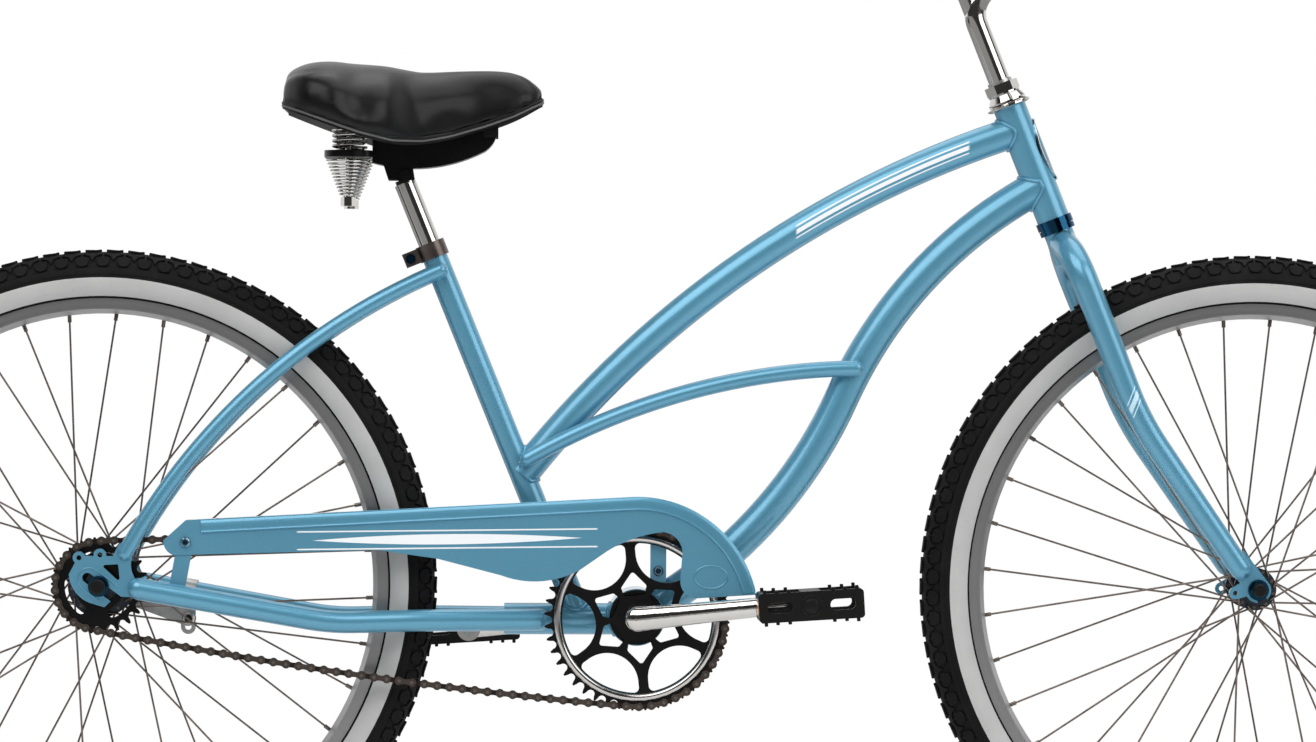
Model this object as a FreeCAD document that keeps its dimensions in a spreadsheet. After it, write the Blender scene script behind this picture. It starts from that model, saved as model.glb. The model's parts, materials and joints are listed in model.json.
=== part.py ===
"""Single-speed beach cruiser bicycle with a coaster brake, one solid for each piece.

Millimetres. +X points forward, +Y to the rider's left and +Z up. The origin lies on the
ground, midway between the two axles. The chain runs on the right side, at -Y.
"""
import FreeCAD, Part
import math
import os
import Sketcher
from FreeCAD import Placement, Rotation, Vector

# Driving sizes, grouped by the piece that they belong to
SIZES = {
    # Fits and gaps
    "running_gap": "0.05",
    "part_gap": "0.4",
    # Wheel places
    "wheelbase": "1160",
    "tyre_radius": "336.5",
    "tyre_width": "57",
    "tyre_wall": "4.5",
    "tyre_rim_gap": "0.5",
    "bead_width": "32",
    "bead_thickness": "3",
    "bead_radius": "280",
    "tube_gap": "0.5",
    "tube_wall": "1.5",
    "valve_radius": "3.8",
    "valve_length": "38",
    # Rims and spokes
    "rim_wall": "1.8",
    "rim_bead_gap": "0.2",
    "rim_flange_radius": "287.5",
    "rim_shoulder_radius": "276.5",
    "rim_inner_radius": "272",
    "rim_floor": "5.5",
    "rim_face_width": "18",
    "rim_hole_radius": "2.8",
    "spoke_count": "36",
    "spoke_crossings": "3",
    "spoke_radius": "1",
    "spoke_head_radius": "1.8",
    "spoke_hole_gap": "0.2",
    "nipple_radius": "2",
    "nipple_length": "16",
    "nipple_head_radius": "3",
    "nipple_head_length": "1.8",
    "nipple_bore_length": "9",
    "nipple_seat_lift": "3.5",
    "front_spoke_turn": "6.1",
    "rear_spoke_turn": "7.3",
    # Front hub and axle
    "front_hub_width": "100",
    "front_flange_radius": "21.5",
    "front_spoke_circle": "18.5",
    "front_flange_spacing": "62",
    "flange_thickness": "3",
    "front_barrel_radius": "11",
    "front_barrel_bore": "8",
    "front_cup_radius": "14.5",
    "front_shell_width": "88",
    "front_axle_radius": "4.75",
    "front_axle_length": "140",
    "front_ball_circle": "9.5",
    "wheel_ball_radius": "2.4",
    "wheel_ball_count": "9",
    # Rear hub, driver and axle
    "rear_hub_width": "110",
    "rear_flange_radius": "33",
    "rear_spoke_circle": "29",
    "rear_flange_spacing": "58",
    "rear_barrel_radius": "22",
    "rear_shell_width": "72",
    "rear_axle_radius": "4.75",
    "rear_axle_length": "160",
    "rear_ball_circle": "15",
    "rear_ball_radius": "2.9",
    "rear_ball_count": "12",
    # Axle hardware
    "axle_washer_radius": "10.5",
    "axle_washer_thickness": "2",
    "axle_nut_flats": "15",
    "axle_nut_height": "9",
    "lock_nut_width": "5",
    # Frame lines
    "chain_stay_reach": "536.9",
    "bottom_bracket_drop": "30.6",
    "head_angle": "68.3",
    "fork_rake": "50.5",
    "axle_to_head": "421",
    "head_tube_length": "121",
    "head_tube_diameter": "33.4",
    "head_tube_wall": "1.7",
    "seat_angle": "67.8",
    "seat_tube_setback": "55.8",
    "seat_tube_length": "405.6",
    "seat_tube_diameter": "25.4",
    "seat_post_diameter": "22.2",
    "top_tube_diameter": "31.8",
    "top_tube_head_drop": "25",
    "top_tube_seat_rise": "157",
    "top_tube_bow_radius": "1043",
    "down_tube_diameter": "34.9",
    "down_tube_head_rise": "36",
    "down_tube_bend_forward": "207",
    "down_tube_bend_rise": "221",
    "down_tube_upper_radius": "455.6",
    "main_tube_wall": "1.6",
    "mid_tube_diameter": "15.9",
    "mid_tube_wall": "1.2",
    "mid_tube_offset": "20",
    "mid_tube_seat_rise": "174",
    "mid_tube_seat_lead": "11",
    "mid_tube_front": "220",
    "mid_tube_front_rise": "251",
    "mid_tube_bow_radius": "690",
    # Bottom bracket and rear end
    "shell_diameter": "57",
    "shell_bore": "51.3",
    "shell_width": "68",
    "yoke_diameter": "31.8",
    "yoke_drop": "3.2",
    "yoke_length": "133",
    "chain_stay_diameter": "22.2",
    "stay_wall": "1.4",
    "chain_stay_start": "98",
    "chain_stay_start_offset": "24",
    "chain_stay_tyre": "220",
    "chain_stay_tyre_offset": "46",
    "chain_stay_low": "306",
    "chain_stay_low_offset": "50.5",
    "chain_stay_low_drop": "5.4",
    "chain_stay_end_ahead": "40",
    "chain_stay_end_drop": "2.5",
    "chain_stay_end_offset": "61.2",
    "chain_stay_bend": "220",
    "seat_stay_diameter": "16",
    "seat_stay_wall": "1.2",
    "seat_stay_top_drop": "27",
    "seat_stay_top_offset": "18.5",
    "seat_stay_end_ahead": "26",
    "seat_stay_end_rise": "33",
    "seat_stay_bow_radius": "640",
    "seat_stay_bow_spread": "0.28",
    "seat_stay_bridge_share": "0.24",
    "seat_stay_bridge_diameter": "12.7",
    "dropout_thickness": "5",
    "dropout_eyelet_radius": "6.2",
    "eyelet_hole_radius": "2.5",
    "axle_slot_gap": "0.25",
    # Head badge and headset
    "badge_height": "66",
    "badge_width": "27",
    "badge_thickness": "1.6",
    "badge_drop": "52",
    "steerer_radius": "12.7",
    "steerer_rise": "150",
    "crown_radius": "15",
    "crown_drop": "46",
    "race_drop": "14",
    "cup_skirt": "8",
    "cup_radius": "18.8",
    "cup_depth": "8",
    "race_radius": "18.3",
    "head_ball_radius": "2",
    "head_ball_circle": "15",
    "head_ball_count": "18",
    "upper_flange_radius": "22.5",
    "upper_race_radius": "19.5",
    "upper_race_height": "8",
    "lock_nut_flats": "30",
    "lock_nut_height": "9.5",
    "keyed_washer_thickness": "1.8",
    # Fork
    "fork_blade_top": "28.6",
    "fork_blade_tip": "22",
    "fork_blade_wall": "1.6",
    "fork_blade_offset": "52.5",
    "fork_crown_start": "27",
    "fork_crown_reach": "9",
    "fork_shoulder_drop": "46",
    "fork_shoulder_radius": "40",
    "fork_blade_lead": "1.5",
    "fork_bend_drop": "219",
    "fork_bend_radius": "300",
    "fork_tip_lead": "42",
    "fork_tip_drop": "395",
    "fork_dropout_radius": "13",
    "fork_eyelet_back": "22.5",
    "fork_eyelet_rise": "5.5",
    # Stem and handlebar
    "stem_corner_rise": "238",
    "stem_bend_radius": "32",
    "stem_neck_angle": "30",
    "stem_neck_length": "60",
    "stem_insertion": "62",
    "stem_clamp_radius": "18.5",
    "stem_clamp_width": "42",
    "stem_slit": "3",
    "stem_boss_radius": "9",
    "stem_boss_rise": "253",
    "stem_bolt_radius": "4",
    "stem_bolt_head_flats": "13",
    "stem_bolt_head_height": "6",
    "wedge_length": "24",
    "bar_diameter": "22.2",
    "bar_wall": "1.8",
    "bar_sleeve_diameter": "25.4",
    "bar_sleeve_width": "64",
    "bar_flat_half": "46",
    "bar_rise": "72",
    "bar_rise_half": "150",
    "bar_shoulder_half": "262",
    "bar_shoulder_rise": "95",
    "bar_shoulder_lead": "-22",
    "bar_end_half": "335",
    "bar_end_rise": "72",
    "bar_end_back": "215",
    "bar_bend_radius": "55",
    "grip_diameter": "31",
    "grip_length": "122",
    "grip_flange_diameter": "40",
    "grip_flange_width": "6",
    "grip_end_wall": "4",
    # Seat post, clamp collar and saddle hardware
    "seat_post_top": "474",
    "seat_post_length": "277",
    "seat_post_wall": "2",
    "collar_wall": "2.4",
    "collar_height": "16",
    "collar_lip": "3",
    "collar_ear_length": "15",
    "collar_ear_width": "13",
    "collar_slit": "3",
    "collar_bolt_radius": "3",
    "saddle_rise": "-1",
    "clamp_barrel_rise": "8.4",
    "clamp_barrel_radius": "6.5",
    "clamp_barrel_width": "27",
    "clamp_plug_length": "24",
    "clamp_neck": "4",
    "clamp_bolt_radius": "3",
    "clamp_bolt_length": "46",
    "clamp_nut_flats": "10.5",
    "clamp_nut_height": "5",
    "cradle_half_width": "18",
    "cradle_wall": "2.5",
    "cradle_back": "33",
    "cradle_floor_radius": "156",
    "cradle_floor_middle": "8",
    "cradle_floor_rise": "15.2",
    "cradle_nose_radius": "26",
    "cradle_nose_turn": "26.7",
    "cradle_ear_back": "22",
    "cradle_ear_front": "7",
    "cradle_ear_low": "3.5",
    "cradle_ear_lean": "5",
    "cradle_ear_thickness": "3",
    "spring_back": "56",
    "spring_spread": "55",
    "spring_plate_radius": "24",
    "spring_plate_bottom": "24.8",
    "spring_plate_thickness": "6.5",
    "spring_plate_hole": "5.5",
    "spring_bolt_radius": "3",
    "spring_nut_flats": "13",
    "spring_nut_height": "9",
    "upper_spring_radius": "15",
    "upper_spring_wire": "3",
    "upper_spring_turns": "4",
    "lower_spring_top_radius": "22",
    "lower_spring_end_radius": "7.5",
    "lower_spring_wire": "2.2",
    "lower_spring_turns": "11",
    "lower_spring_height": "40",
    "spring_end_gap": "0.3",
    "spring_pan_gap": "2.2",
    "saddle_pivot_ahead": "86",
    "saddle_pivot_rise": "54",
    "saddle_tab_thickness": "2.5",
    "saddle_pivot_radius": "3",
    "saddle_recess": "14",
    "saddle_base_thickness": "2.5",
    "saddle_base_gap": "0.8",
    # Crankset
    "crank_length": "170",
    "crank_angle": "6",
    "spindle_radius": "11",
    "spindle_half": "66",
    "crank_eye_offset": "76",
    "crank_root_height": "12.5",
    "crank_root_depth": "8.5",
    "crank_tip_height": "9.5",
    "crank_tip_depth": "6.5",
    "crank_eye_radius": "12",
    "crank_eye_width": "16",
    "cone_radius": "17",
    "cone_width": "8",
    "bracket_ball_circle": "20",
    "bracket_ball_radius": "2.9",
    "bracket_ball_count": "11",
    "bracket_cup_flange": "2.5",
    "bracket_cup_flange_radius": "27.5",
    "crank_nut_flats": "36",
    "crank_nut_width": "6",
    # Chain line
    "chain_line": "44",
    "chain_pitch": "12.7",
    "chain_links": "118",
    "roller_radius": "3.88",
    "tooth_gap": "0.17",
    "tooth_height": "3.9",
    "tooth_tip_width": "1.5",
    "sprocket_thickness": "2.9",
    "ring_teeth": "44",
    "ring_band_inner": "75",
    "ring_bead_inner": "78",
    "ring_bead_outer": "83",
    "ring_bead_height": "1.2",
    "ring_arm_width": "10",
    "ring_arm_count": "6",
    "ring_window_inner": "41.5",
    "ring_window_corner": "5",
    "ring_eye_inner": "22.6",
    "ring_eye_inner_half": "10.4",
    "ring_eye_middle": "31.6",
    "ring_eye_half": "12.8",
    "ring_eye_tip": "47",
    "ring_eye_corner": "2.6",
    "rear_teeth": "22",
    "rear_sprocket_windows": "3",
    "rear_window_inner": "25",
    "rear_window_outer": "35",
    "rear_window_sweep": "75",
    "rear_window_turn": "84",
    "link_plate_radius": "4.3",
    "link_plate_waist": "2.4",
    "link_plate_thickness": "1",
    "link_inner_width": "3.3",
    "link_play": "0.1",
    "pin_radius": "1.72",
    "pin_overhang": "0.6",
    "driver_radius": "12",
    "driver_seat_radius": "17",
    # Pedals
    "pedal_axle_radius": "6.3",
    "pedal_length": "104",
    "pedal_height": "29",
    "pedal_width": "64",
    "pedal_gap": "3",
    "pedal_corner": "4",
    "pedal_frame": "6",
    "pedal_barrel_radius": "10",
    "pedal_slot_centre": "31",
    "pedal_slot_length": "25",
    "pedal_slot_height": "11",
    "pedal_tilt": "3.6",
    # Chain guard
    "guard_gap": "5.2",
    "guard_sheet": "1.2",
    "guard_depth": "18",
    "guard_radius": "121",
    "guard_nose_ahead": "64",
    "guard_nose_rise": "46",
    "guard_tail_width": "35",
    "guard_tail_radius": "14",
    "guard_tail_cut": "10",
    "guard_rear_top_rise": "66",
    "guard_rear_top_ahead": "86",
    "guard_screw_radius": "2.5",
    "guard_screw_head": "5",
    "strut_width": "16",
    "strut_thickness": "1.8",
    "strut_length": "58",
    "strut_lean": "10",
    "guard_leg_rise": "24",
    "guard_flange_share": "0.55",
    "guard_screw_ahead": "85.7",
    "guard_screw_rise": "43.8",
    "guard_screw_length": "12",
    "guard_front_ahead": "21.3",
    "guard_front_rise": "46.8",
    "guard_lug_radius": "7",
    # Coaster brake arm
    "brake_arm_thickness": "3",
    "brake_arm_reach": "83",
    "brake_arm_drop": "37",
    "brake_arm_end_radius": "8",
    "brake_arm_hub_radius": "16",
    "brake_clip_thickness": "1.8",
    "brake_clip_width": "15",
    "brake_clip_rise": "19",
    "brake_slot_drop": "8.8",
    "brake_slot_gap": "0.2",
    "brake_bolt_radius": "3",
}

doc = FreeCAD.newDocument("BeachCruiser")
sheet = doc.addObject("Spreadsheet::Sheet", "Sizes")
for row, (alias, number) in enumerate(SIZES.items(), start=1):
    sheet.set("A%d" % row, alias)
    sheet.set("B%d" % row, number)
    sheet.setAlias("B%d" % row, alias)
doc.recompute()

X = Vector(1, 0, 0)
Y = Vector(0, 1, 0)
Z = Vector(0, 0, 1)
nodes = []


class Size:
    """A number together with the sheet expression that gives it."""

    def __init__(self, value, text):
        self.value = value
        self.text = text

    def __float__(self):
        return self.value

    def __add__(self, other):
        return Size(self.value + float(other), "(%s + %s)" % (self.text, expression(other)))

    def __radd__(self, other):
        return self + other

    def __sub__(self, other):
        return Size(self.value - float(other), "(%s - %s)" % (self.text, expression(other)))

    def __rsub__(self, other):
        return Size(float(other) - self.value, "(%s - %s)" % (expression(other), self.text))

    def __mul__(self, other):
        return Size(self.value * float(other), "(%s * %s)" % (self.text, expression(other)))

    def __rmul__(self, other):
        return self * other

    def __truediv__(self, other):
        return Size(self.value / float(other), "(%s / %s)" % (self.text, expression(other)))

    def __neg__(self):
        return self * -1


class SizeTable:
    """Gives each alias of the sheet as an attribute."""

    def __getattr__(self, alias):
        return Size(float(sheet.get(alias)), "Sizes." + alias)


def expression(value):
    return value.text if isinstance(value, Size) else repr(float(value))


d = SizeTable()


# Helpers that make document objects

def bind(item, **sizes):
    for name, value in sizes.items():
        if isinstance(value, Size):
            item.setExpression(name, value.text)
        else:
            setattr(item, name, value)


def primitive(kind, name, placement=None, **sizes):
    item = doc.addObject(kind, name)
    bind(item, **sizes)
    if placement is not None:
        item.Placement = placement
    return item


def place(point, direction=Z):
    """A placement whose own Z points along the direction."""
    return Placement(Vector(point), Rotation(Z, Vector(direction)))


def cylinder(name, radius, height, point, direction=Z):
    return primitive("Part::Cylinder", name, place(point, direction), Radius=radius, Height=height)


def cross_cylinder(name, radius, length, point):
    """A cylinder along Y whose middle is the point."""
    start = Vector(point) - Y * (float(length) / 2)
    return cylinder(name, radius, length, start, Y)


def sphere(name, radius, point):
    return primitive("Part::Sphere", name, place(point), Radius=radius)


def box(name, length, width, height, low_corner, rotation=None):
    placement = Placement(Vector(low_corner), rotation or Rotation())
    return primitive("Part::Box", name, placement, Length=length, Width=width, Height=height)


def hexagon(name, flats, height, point, direction=Z):
    """A hexagonal prism given by its size across the flats."""
    radius = flats / math.sqrt(3)
    return primitive("Part::Prism", name, place(point, direction), Polygon=6,
                     Circumradius=radius, Height=height)


def cut(name, base, *tools):
    for tool in tools:
        result = doc.addObject("Part::Cut", name)
        result.Base = base
        result.Tool = tool
        base = result
    return base


def fuse(name, *items):
    result = doc.addObject("Part::MultiFuse", name)
    result.Shapes = list(items)
    return result


def common(name, first, second):
    result = doc.addObject("Part::Common", name)
    result.Base = first
    result.Tool = second
    return result


def mirrored(item):
    """The same piece on the other side of the bicycle."""
    result = doc.addObject("Part::Mirroring", item.Name + "Left")
    result.Source = item
    result.Normal = Y
    return result


def group(name, *items):
    result = doc.addObject("Part::Compound", name)
    result.Links = list(items)
    return result


def coded(name, shape, placement=None):
    """A piece whose shape comes from a formula."""
    result = doc.addObject("Part::Feature", name)
    result.Shape = shape
    if placement is not None:
        result.Placement = placement
    return result


def keep(item, node):
    item.Label = node
    nodes.append(item)
    return item


# Helpers that draw sketches inside bodies

def origin_feature(body, role):
    for feature in body.Origin.OriginFeatures:
        if feature.Role == role:
            return feature
    raise ValueError("no origin feature " + role)


def new_body(name, placement=None):
    body = doc.addObject("PartDesign::Body", name)
    if placement is not None:
        body.Placement = placement
    return body


def new_sketch(body, plane):
    sketch = body.newObject("Sketcher::SketchObject", body.Name + "Sketch")
    sketch.AttachmentSupport = (origin_feature(body, plane), [""])
    sketch.MapMode = "FlatFace"
    return sketch


def fix_point(sketch, geometry, position, point):
    """Ties a point of the sketch to its two coordinates."""
    for kind, axis, value in (("DistanceX", -2, point[0]), ("DistanceY", -1, point[1])):
        if not isinstance(value, Size) and value == 0:
            sketch.addConstraint(Sketcher.Constraint("PointOnObject", geometry, position, axis))
            continue
        index = sketch.addConstraint(Sketcher.Constraint(kind, geometry, position, float(value)))
        if isinstance(value, Size):
            sketch.setExpression("Constraints[%d]" % index, value.text)


def arc_centre(start, end, radius):
    """Centre of the arc from start to end: on the left for a positive radius."""
    chord = end - start
    middle = (start + end) / 2
    side = Vector(-chord.y, chord.x, 0).normalize()
    height = math.sqrt(max(radius * radius - chord.Length * chord.Length / 4, 0))
    return middle + side * math.copysign(height, radius)


def rounded(corners):
    """Outline of a polygon with each corner (x, y, radius) rounded by an arc."""
    points = []
    for before, corner, after in zip(corners[-1:] + corners[:-1], corners, corners[1:] + corners[:1]):
        centre = Vector(float(corner[0]), float(corner[1]), 0)
        back = (Vector(float(before[0]), float(before[1]), 0) - centre).normalize()
        onward = (Vector(float(after[0]), float(after[1]), 0) - centre).normalize()
        radius = float(corner[2])
        reach = radius / math.tan(back.getAngle(onward) / 2)
        entry = centre + back * reach
        leave = centre + onward * reach
        points.append((entry.x, entry.y, math.copysign(radius, onward.cross(back).z)))
        points.append((leave.x, leave.y))
    return points


def outline(sketch, corners):
    """A closed outline. A corner is (x, y), or (x, y, radius) where an arc follows it."""
    first = sketch.GeometryCount
    count = len(corners)
    starts = []
    for index, corner in enumerate(corners):
        following = corners[(index + 1) % count]
        start = Vector(float(corner[0]), float(corner[1]), 0)
        end = Vector(float(following[0]), float(following[1]), 0)
        if len(corner) == 2:
            sketch.addGeometry(Part.LineSegment(start, end))
            starts.append((1, 2))
            continue
        radius = float(corner[2])
        centre = arc_centre(start, end, radius)
        begin, finish = (start, end) if radius > 0 else (end, start)
        whole = Part.Circle(centre, Z, abs(radius))
        angles = [math.atan2(p.y - centre.y, p.x - centre.x) for p in (begin, finish)]
        sketch.addGeometry(Part.ArcOfCircle(whole, *angles))
        starts.append((1, 2) if radius > 0 else (2, 1))
        size = corner[2] if radius > 0 else -corner[2]
        number = sketch.addConstraint(Sketcher.Constraint("Radius", first + index, abs(radius)))
        if isinstance(size, Size):
            sketch.setExpression("Constraints[%d]" % number, size.text)
    for index, corner in enumerate(corners):
        following = (index + 1) % count
        sketch.addConstraint(Sketcher.Constraint(
            "Coincident", first + index, starts[index][1], first + following, starts[following][0]))
        fix_point(sketch, first + index, starts[index][0], corner)


def circle(sketch, radius, point):
    index = sketch.addGeometry(Part.Circle(Vector(float(point[0]), float(point[1]), 0), Z, float(radius)))
    number = sketch.addConstraint(Sketcher.Constraint("Radius", index, float(radius)))
    if isinstance(radius, Size):
        sketch.setExpression("Constraints[%d]" % number, radius.text)
    fix_point(sketch, index, 3, point)


def turned(name, profile, placement=None, upright=False):
    """A turned piece from (along, radius) corners, about its own Y, or its own Z if upright."""
    body = new_body(name, placement)
    sketch = new_sketch(body, "XZ_Plane" if upright else "YZ_Plane")
    if upright:
        profile = [(corner[1], corner[0]) + tuple(corner[2:]) for corner in profile]
    outline(sketch, profile)
    turn = body.newObject("PartDesign::Revolution", name + "Turn")
    turn.Profile = sketch
    turn.ReferenceAxis = (sketch, ["V_Axis" if upright else "H_Axis"])
    turn.Angle = 360
    return body


def ring_profile(start, end, inner, outer):
    return [(start, inner), (start, outer), (end, outer), (end, inner)]


def add_pad(body, plane, length, *loops, middle=False, reverse=False):
    """Pads closed outlines and (radius, point) circles drawn on an origin plane."""
    sketch = new_sketch(body, plane)
    draw_loops(sketch, loops)
    pad = body.newObject("PartDesign::Pad", body.Name + "Pad")
    pad.Profile = sketch
    bind(pad, Length=length)
    pad.Midplane = middle
    pad.Reversed = reverse
    return pad


def add_pocket(body, plane, length, *loops, middle=False, reverse=False):
    sketch = new_sketch(body, plane)
    draw_loops(sketch, loops)
    pocket = body.newObject("PartDesign::Pocket", body.Name + "Pocket")
    pocket.Profile = sketch
    bind(pocket, Length=length)
    pocket.Midplane = middle
    pocket.Reversed = reverse
    return pocket


def draw_loops(sketch, loops):
    for loop in loops:
        if isinstance(loop, tuple):
            circle(sketch, *loop)
        else:
            outline(sketch, loop)


def add_pattern(body, axis, count, *features):
    doc.recompute()
    pattern = body.newObject("PartDesign::PolarPattern", body.Name + "Pattern")
    pattern.Originals = list(features)
    pattern.Axis = (origin_feature(body, axis), [""])
    pattern.Angle = 360
    bind(pattern, Occurrences=count)
    body.Tip = pattern
    return pattern


# Helpers that lay out tubes

def rounded_route(points, radii):
    """Straight runs joined by tangent arcs, one radius for each inner point."""
    edges = []
    last = points[0]
    for before, corner, after, radius in zip(points, points[1:], points[2:], radii):
        back = (before - corner).normalize()
        onward = (after - corner).normalize()
        half = back.getAngle(onward) / 2
        reach = radius / math.tan(half)
        towards_centre = (back + onward).normalize()
        middle = corner + towards_centre * (radius / math.sin(half) - radius)
        entry = corner + back * reach
        leave = corner + onward * reach
        edges.append(Part.LineSegment(last, entry).toShape())
        edges.append(Part.Arc(entry, middle, leave).toShape())
        last = leave
    edges.append(Part.LineSegment(last, points[-1]).toShape())
    return edges


def bowed_edge(start, end, radius, towards):
    """One arc from start to end that bows towards a direction."""
    chord = end - start
    along = Vector(chord).normalize()
    side = (towards - along * towards.dot(along)).normalize()
    half = chord.Length / 2
    rise = radius - math.sqrt(radius * radius - half * half)
    return Part.Arc(start, (start + end) / 2 + side * rise, end).toShape()


def tangent_edge(start, direction, end):
    """One arc that leaves start along a direction and reaches end."""
    chord = end - start
    along = Vector(direction).normalize()
    side = (chord - along * chord.dot(along)).normalize()
    radius = chord.dot(chord) / (2 * chord.dot(side))
    centre = start + side * radius
    halfway = ((start - centre) + (end - centre)).normalize()
    return Part.Arc(start, centre + halfway * radius, end).toShape()


def sweep(name, edges, diameter, end_diameter=None):
    """A round bar along the edges, tapering evenly to the end diameter if one is given."""
    spine = coded(name + "Line", Part.Wire(edges))
    ends = [(edges[0], edges[0].FirstParameter, diameter)]
    if end_diameter is not None:
        ends.append((edges[-1], edges[-1].LastParameter, end_diameter))
    sections = []
    for edge, parameter, size in ends:
        placement = place(edge.valueAt(parameter), edge.tangentAt(parameter))
        sections.append(primitive("Part::Circle", name + "Section", placement, Radius=size / 2))
    bar = doc.addObject("Part::Sweep", name + "Bar")
    bar.Sections = sections
    bar.Spine = (spine, ["Edge%d" % (index + 1) for index in range(len(edges))])
    bar.Solid = True
    bar.Frenet = False
    return bar


def tube(name, edges, diameter, wall, end_diameter=None, capped=()):
    """Returns the full bar and the hollow tube along the edges, with domes on the capped ends."""
    bar = sweep(name, edges, diameter, end_diameter)
    inner_end = None if end_diameter is None else end_diameter - wall * 2
    bore = sweep(name + "Bore", edges, diameter - wall * 2, inner_end)
    domes = [sphere(name + "Dome", diameter / 2, point) for point in capped]
    if domes:
        bar = fuse(name + "Capped", bar, *domes)
    return bar, cut(name + "Hollow", bar, bore)


# Places that the pieces share

rear_axle = Vector(-d.wheelbase.value / 2, 0, d.tyre_radius.value)
front_axle = Vector(d.wheelbase.value / 2, 0, d.tyre_radius.value)
bracket = rear_axle + X * d.chain_stay_reach.value - Z * d.bottom_bracket_drop.value

head_turn = math.radians(d.head_angle.value)
steer_up = Vector(-math.cos(head_turn), 0, math.sin(head_turn))
steer_forward = Vector(math.sin(head_turn), 0, math.cos(head_turn))
head_foot = front_axle - steer_forward * d.fork_rake.value + steer_up * d.axle_to_head.value
head_frame = Placement(head_foot, Rotation(Y, d.head_angle.value - 90))

seat_turn = math.radians(d.seat_angle.value)
seat_up = Vector(-math.cos(seat_turn), 0, math.sin(seat_turn))
seat_foot = bracket - X * d.seat_tube_setback.value - Z * d.yoke_drop.value
seat_frame = Placement(seat_foot, Rotation(Y, d.seat_angle.value - 90))
saddle_point = seat_foot + seat_up * (d.seat_post_top.value + d.saddle_rise.value)


def on_head(lead, offset, rise):
    """A point given forward of, beside and along the steering axis from the head tube's foot."""
    return head_foot + steer_forward * float(lead) + Y * float(offset) + steer_up * float(rise)


def on_seat(rise):
    return seat_foot + seat_up * float(rise)


def on_saddle(ahead, offset, rise):
    return saddle_point + Vector(float(ahead), float(offset), float(rise))


def from_bracket(ahead, offset, rise):
    return bracket + Vector(float(ahead), float(offset), float(rise))


def from_rear_axle(ahead, offset, rise):
    return rear_axle + Vector(float(ahead), float(offset), float(rise))


def ball_cage(ball_radius, circle_radius, count, centre, axis):
    """Balls on a circle, held together by a thin wire cage. Each ball's seam faces outwards, clear of the wire."""
    radius = float(circle_radius)
    cage_wire = float(ball_radius) / 3
    balls = []
    for index in range(int(float(count))):
        around = Rotation(Z, 360 * (index + 0.5) / int(float(count)))
        ball = Part.makeSphere(float(ball_radius))
        ball.Placement = Placement(around.multVec(X * radius), around)
        balls.append(ball)
    solid = Part.makeTorus(radius, cage_wire).multiFuse(balls)
    solid.Placement = place(centre, axis)
    return solid


# Main frame

def main_tubes():
    reach = d.head_tube_diameter + d.head_tube_length
    head_outer = cylinder("HeadMass", d.head_tube_diameter / 2, reach * 2,
                          on_head(0, 0, -reach.value / 2), steer_up)
    head_bore = d.head_tube_diameter / 2 - d.head_tube_wall
    keep(turned("HeadTube", ring_profile(0, d.head_tube_length, head_bore, d.head_tube_diameter / 2),
                head_frame, upright=True), "head_tube")

    shell_outer = cross_cylinder("ShellMass", d.shell_diameter / 2, d.shell_width * 2, bracket)
    shell_half = d.shell_width / 2
    keep(turned("BottomBracketShell",
                ring_profile(-shell_half, shell_half, d.shell_bore / 2, d.shell_diameter / 2),
                Placement(bracket, Rotation())), "bottom_bracket_shell")

    yoke_start = from_bracket(0, 0, -d.yoke_drop)
    yoke_bar = cylinder("YokeBar", d.yoke_diameter / 2, d.yoke_length, yoke_start, -X)
    yoke_bore = cylinder("YokeBore", d.yoke_diameter / 2 - d.main_tube_wall,
                         d.yoke_length - d.main_tube_wall * 2, yoke_start, -X)
    keep(cut("ChainStayYoke", yoke_bar, yoke_bore, shell_outer), "chain_stay_yoke")

    seat_mass = cylinder("SeatTubeMass", d.seat_tube_diameter / 2, d.seat_tube_length, seat_foot, seat_up)
    seat_bore = cylinder("SeatTubeBore", d.seat_post_diameter / 2 + d.running_gap,
                         d.seat_tube_length * 2, seat_foot, seat_up)
    keep(cut("SeatTube", seat_mass, seat_bore, yoke_bar), "seat_tube")

    top_start = on_seat(d.top_tube_seat_rise)
    top_end = on_head(0, 0, d.head_tube_length - d.top_tube_head_drop)
    top_line = [bowed_edge(top_start, top_end, d.top_tube_bow_radius.value, Z)]
    top_bar, top_hollow = tube("TopTube", top_line, d.top_tube_diameter, d.main_tube_wall)
    keep(cut("TopTube", top_hollow, head_outer, seat_mass), "top_tube")

    down_start = on_head(0, 0, d.down_tube_head_rise)
    down_bend = from_bracket(d.down_tube_bend_forward, 0, d.down_tube_bend_rise)
    upper = bowed_edge(down_start, down_bend, d.down_tube_upper_radius.value, Z - X)
    lower = tangent_edge(down_bend, upper.tangentAt(upper.LastParameter), bracket)
    down_bar, down_hollow = tube("DownTube", [upper, lower], d.down_tube_diameter, d.main_tube_wall)
    keep(cut("DownTube", down_hollow, head_outer, shell_outer), "down_tube")

    mid_start = on_seat(d.mid_tube_seat_rise) + X * d.mid_tube_seat_lead.value - Y * d.mid_tube_offset.value
    mid_end = from_bracket(d.mid_tube_front, -d.mid_tube_offset, d.mid_tube_front_rise)
    mid_line = [bowed_edge(mid_start, mid_end, d.mid_tube_bow_radius.value, Z)]
    mid_bar, mid_hollow = tube("MidTube", mid_line, d.mid_tube_diameter, d.mid_tube_wall,
                               capped=(mid_start, mid_end))
    right = cut("MidTubeRight", mid_hollow, seat_mass, top_bar, down_bar)
    keep(group("MidTubes", right, mirrored(right)), "mid_tubes")
    return yoke_bar, seat_mass, down_bar


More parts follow.
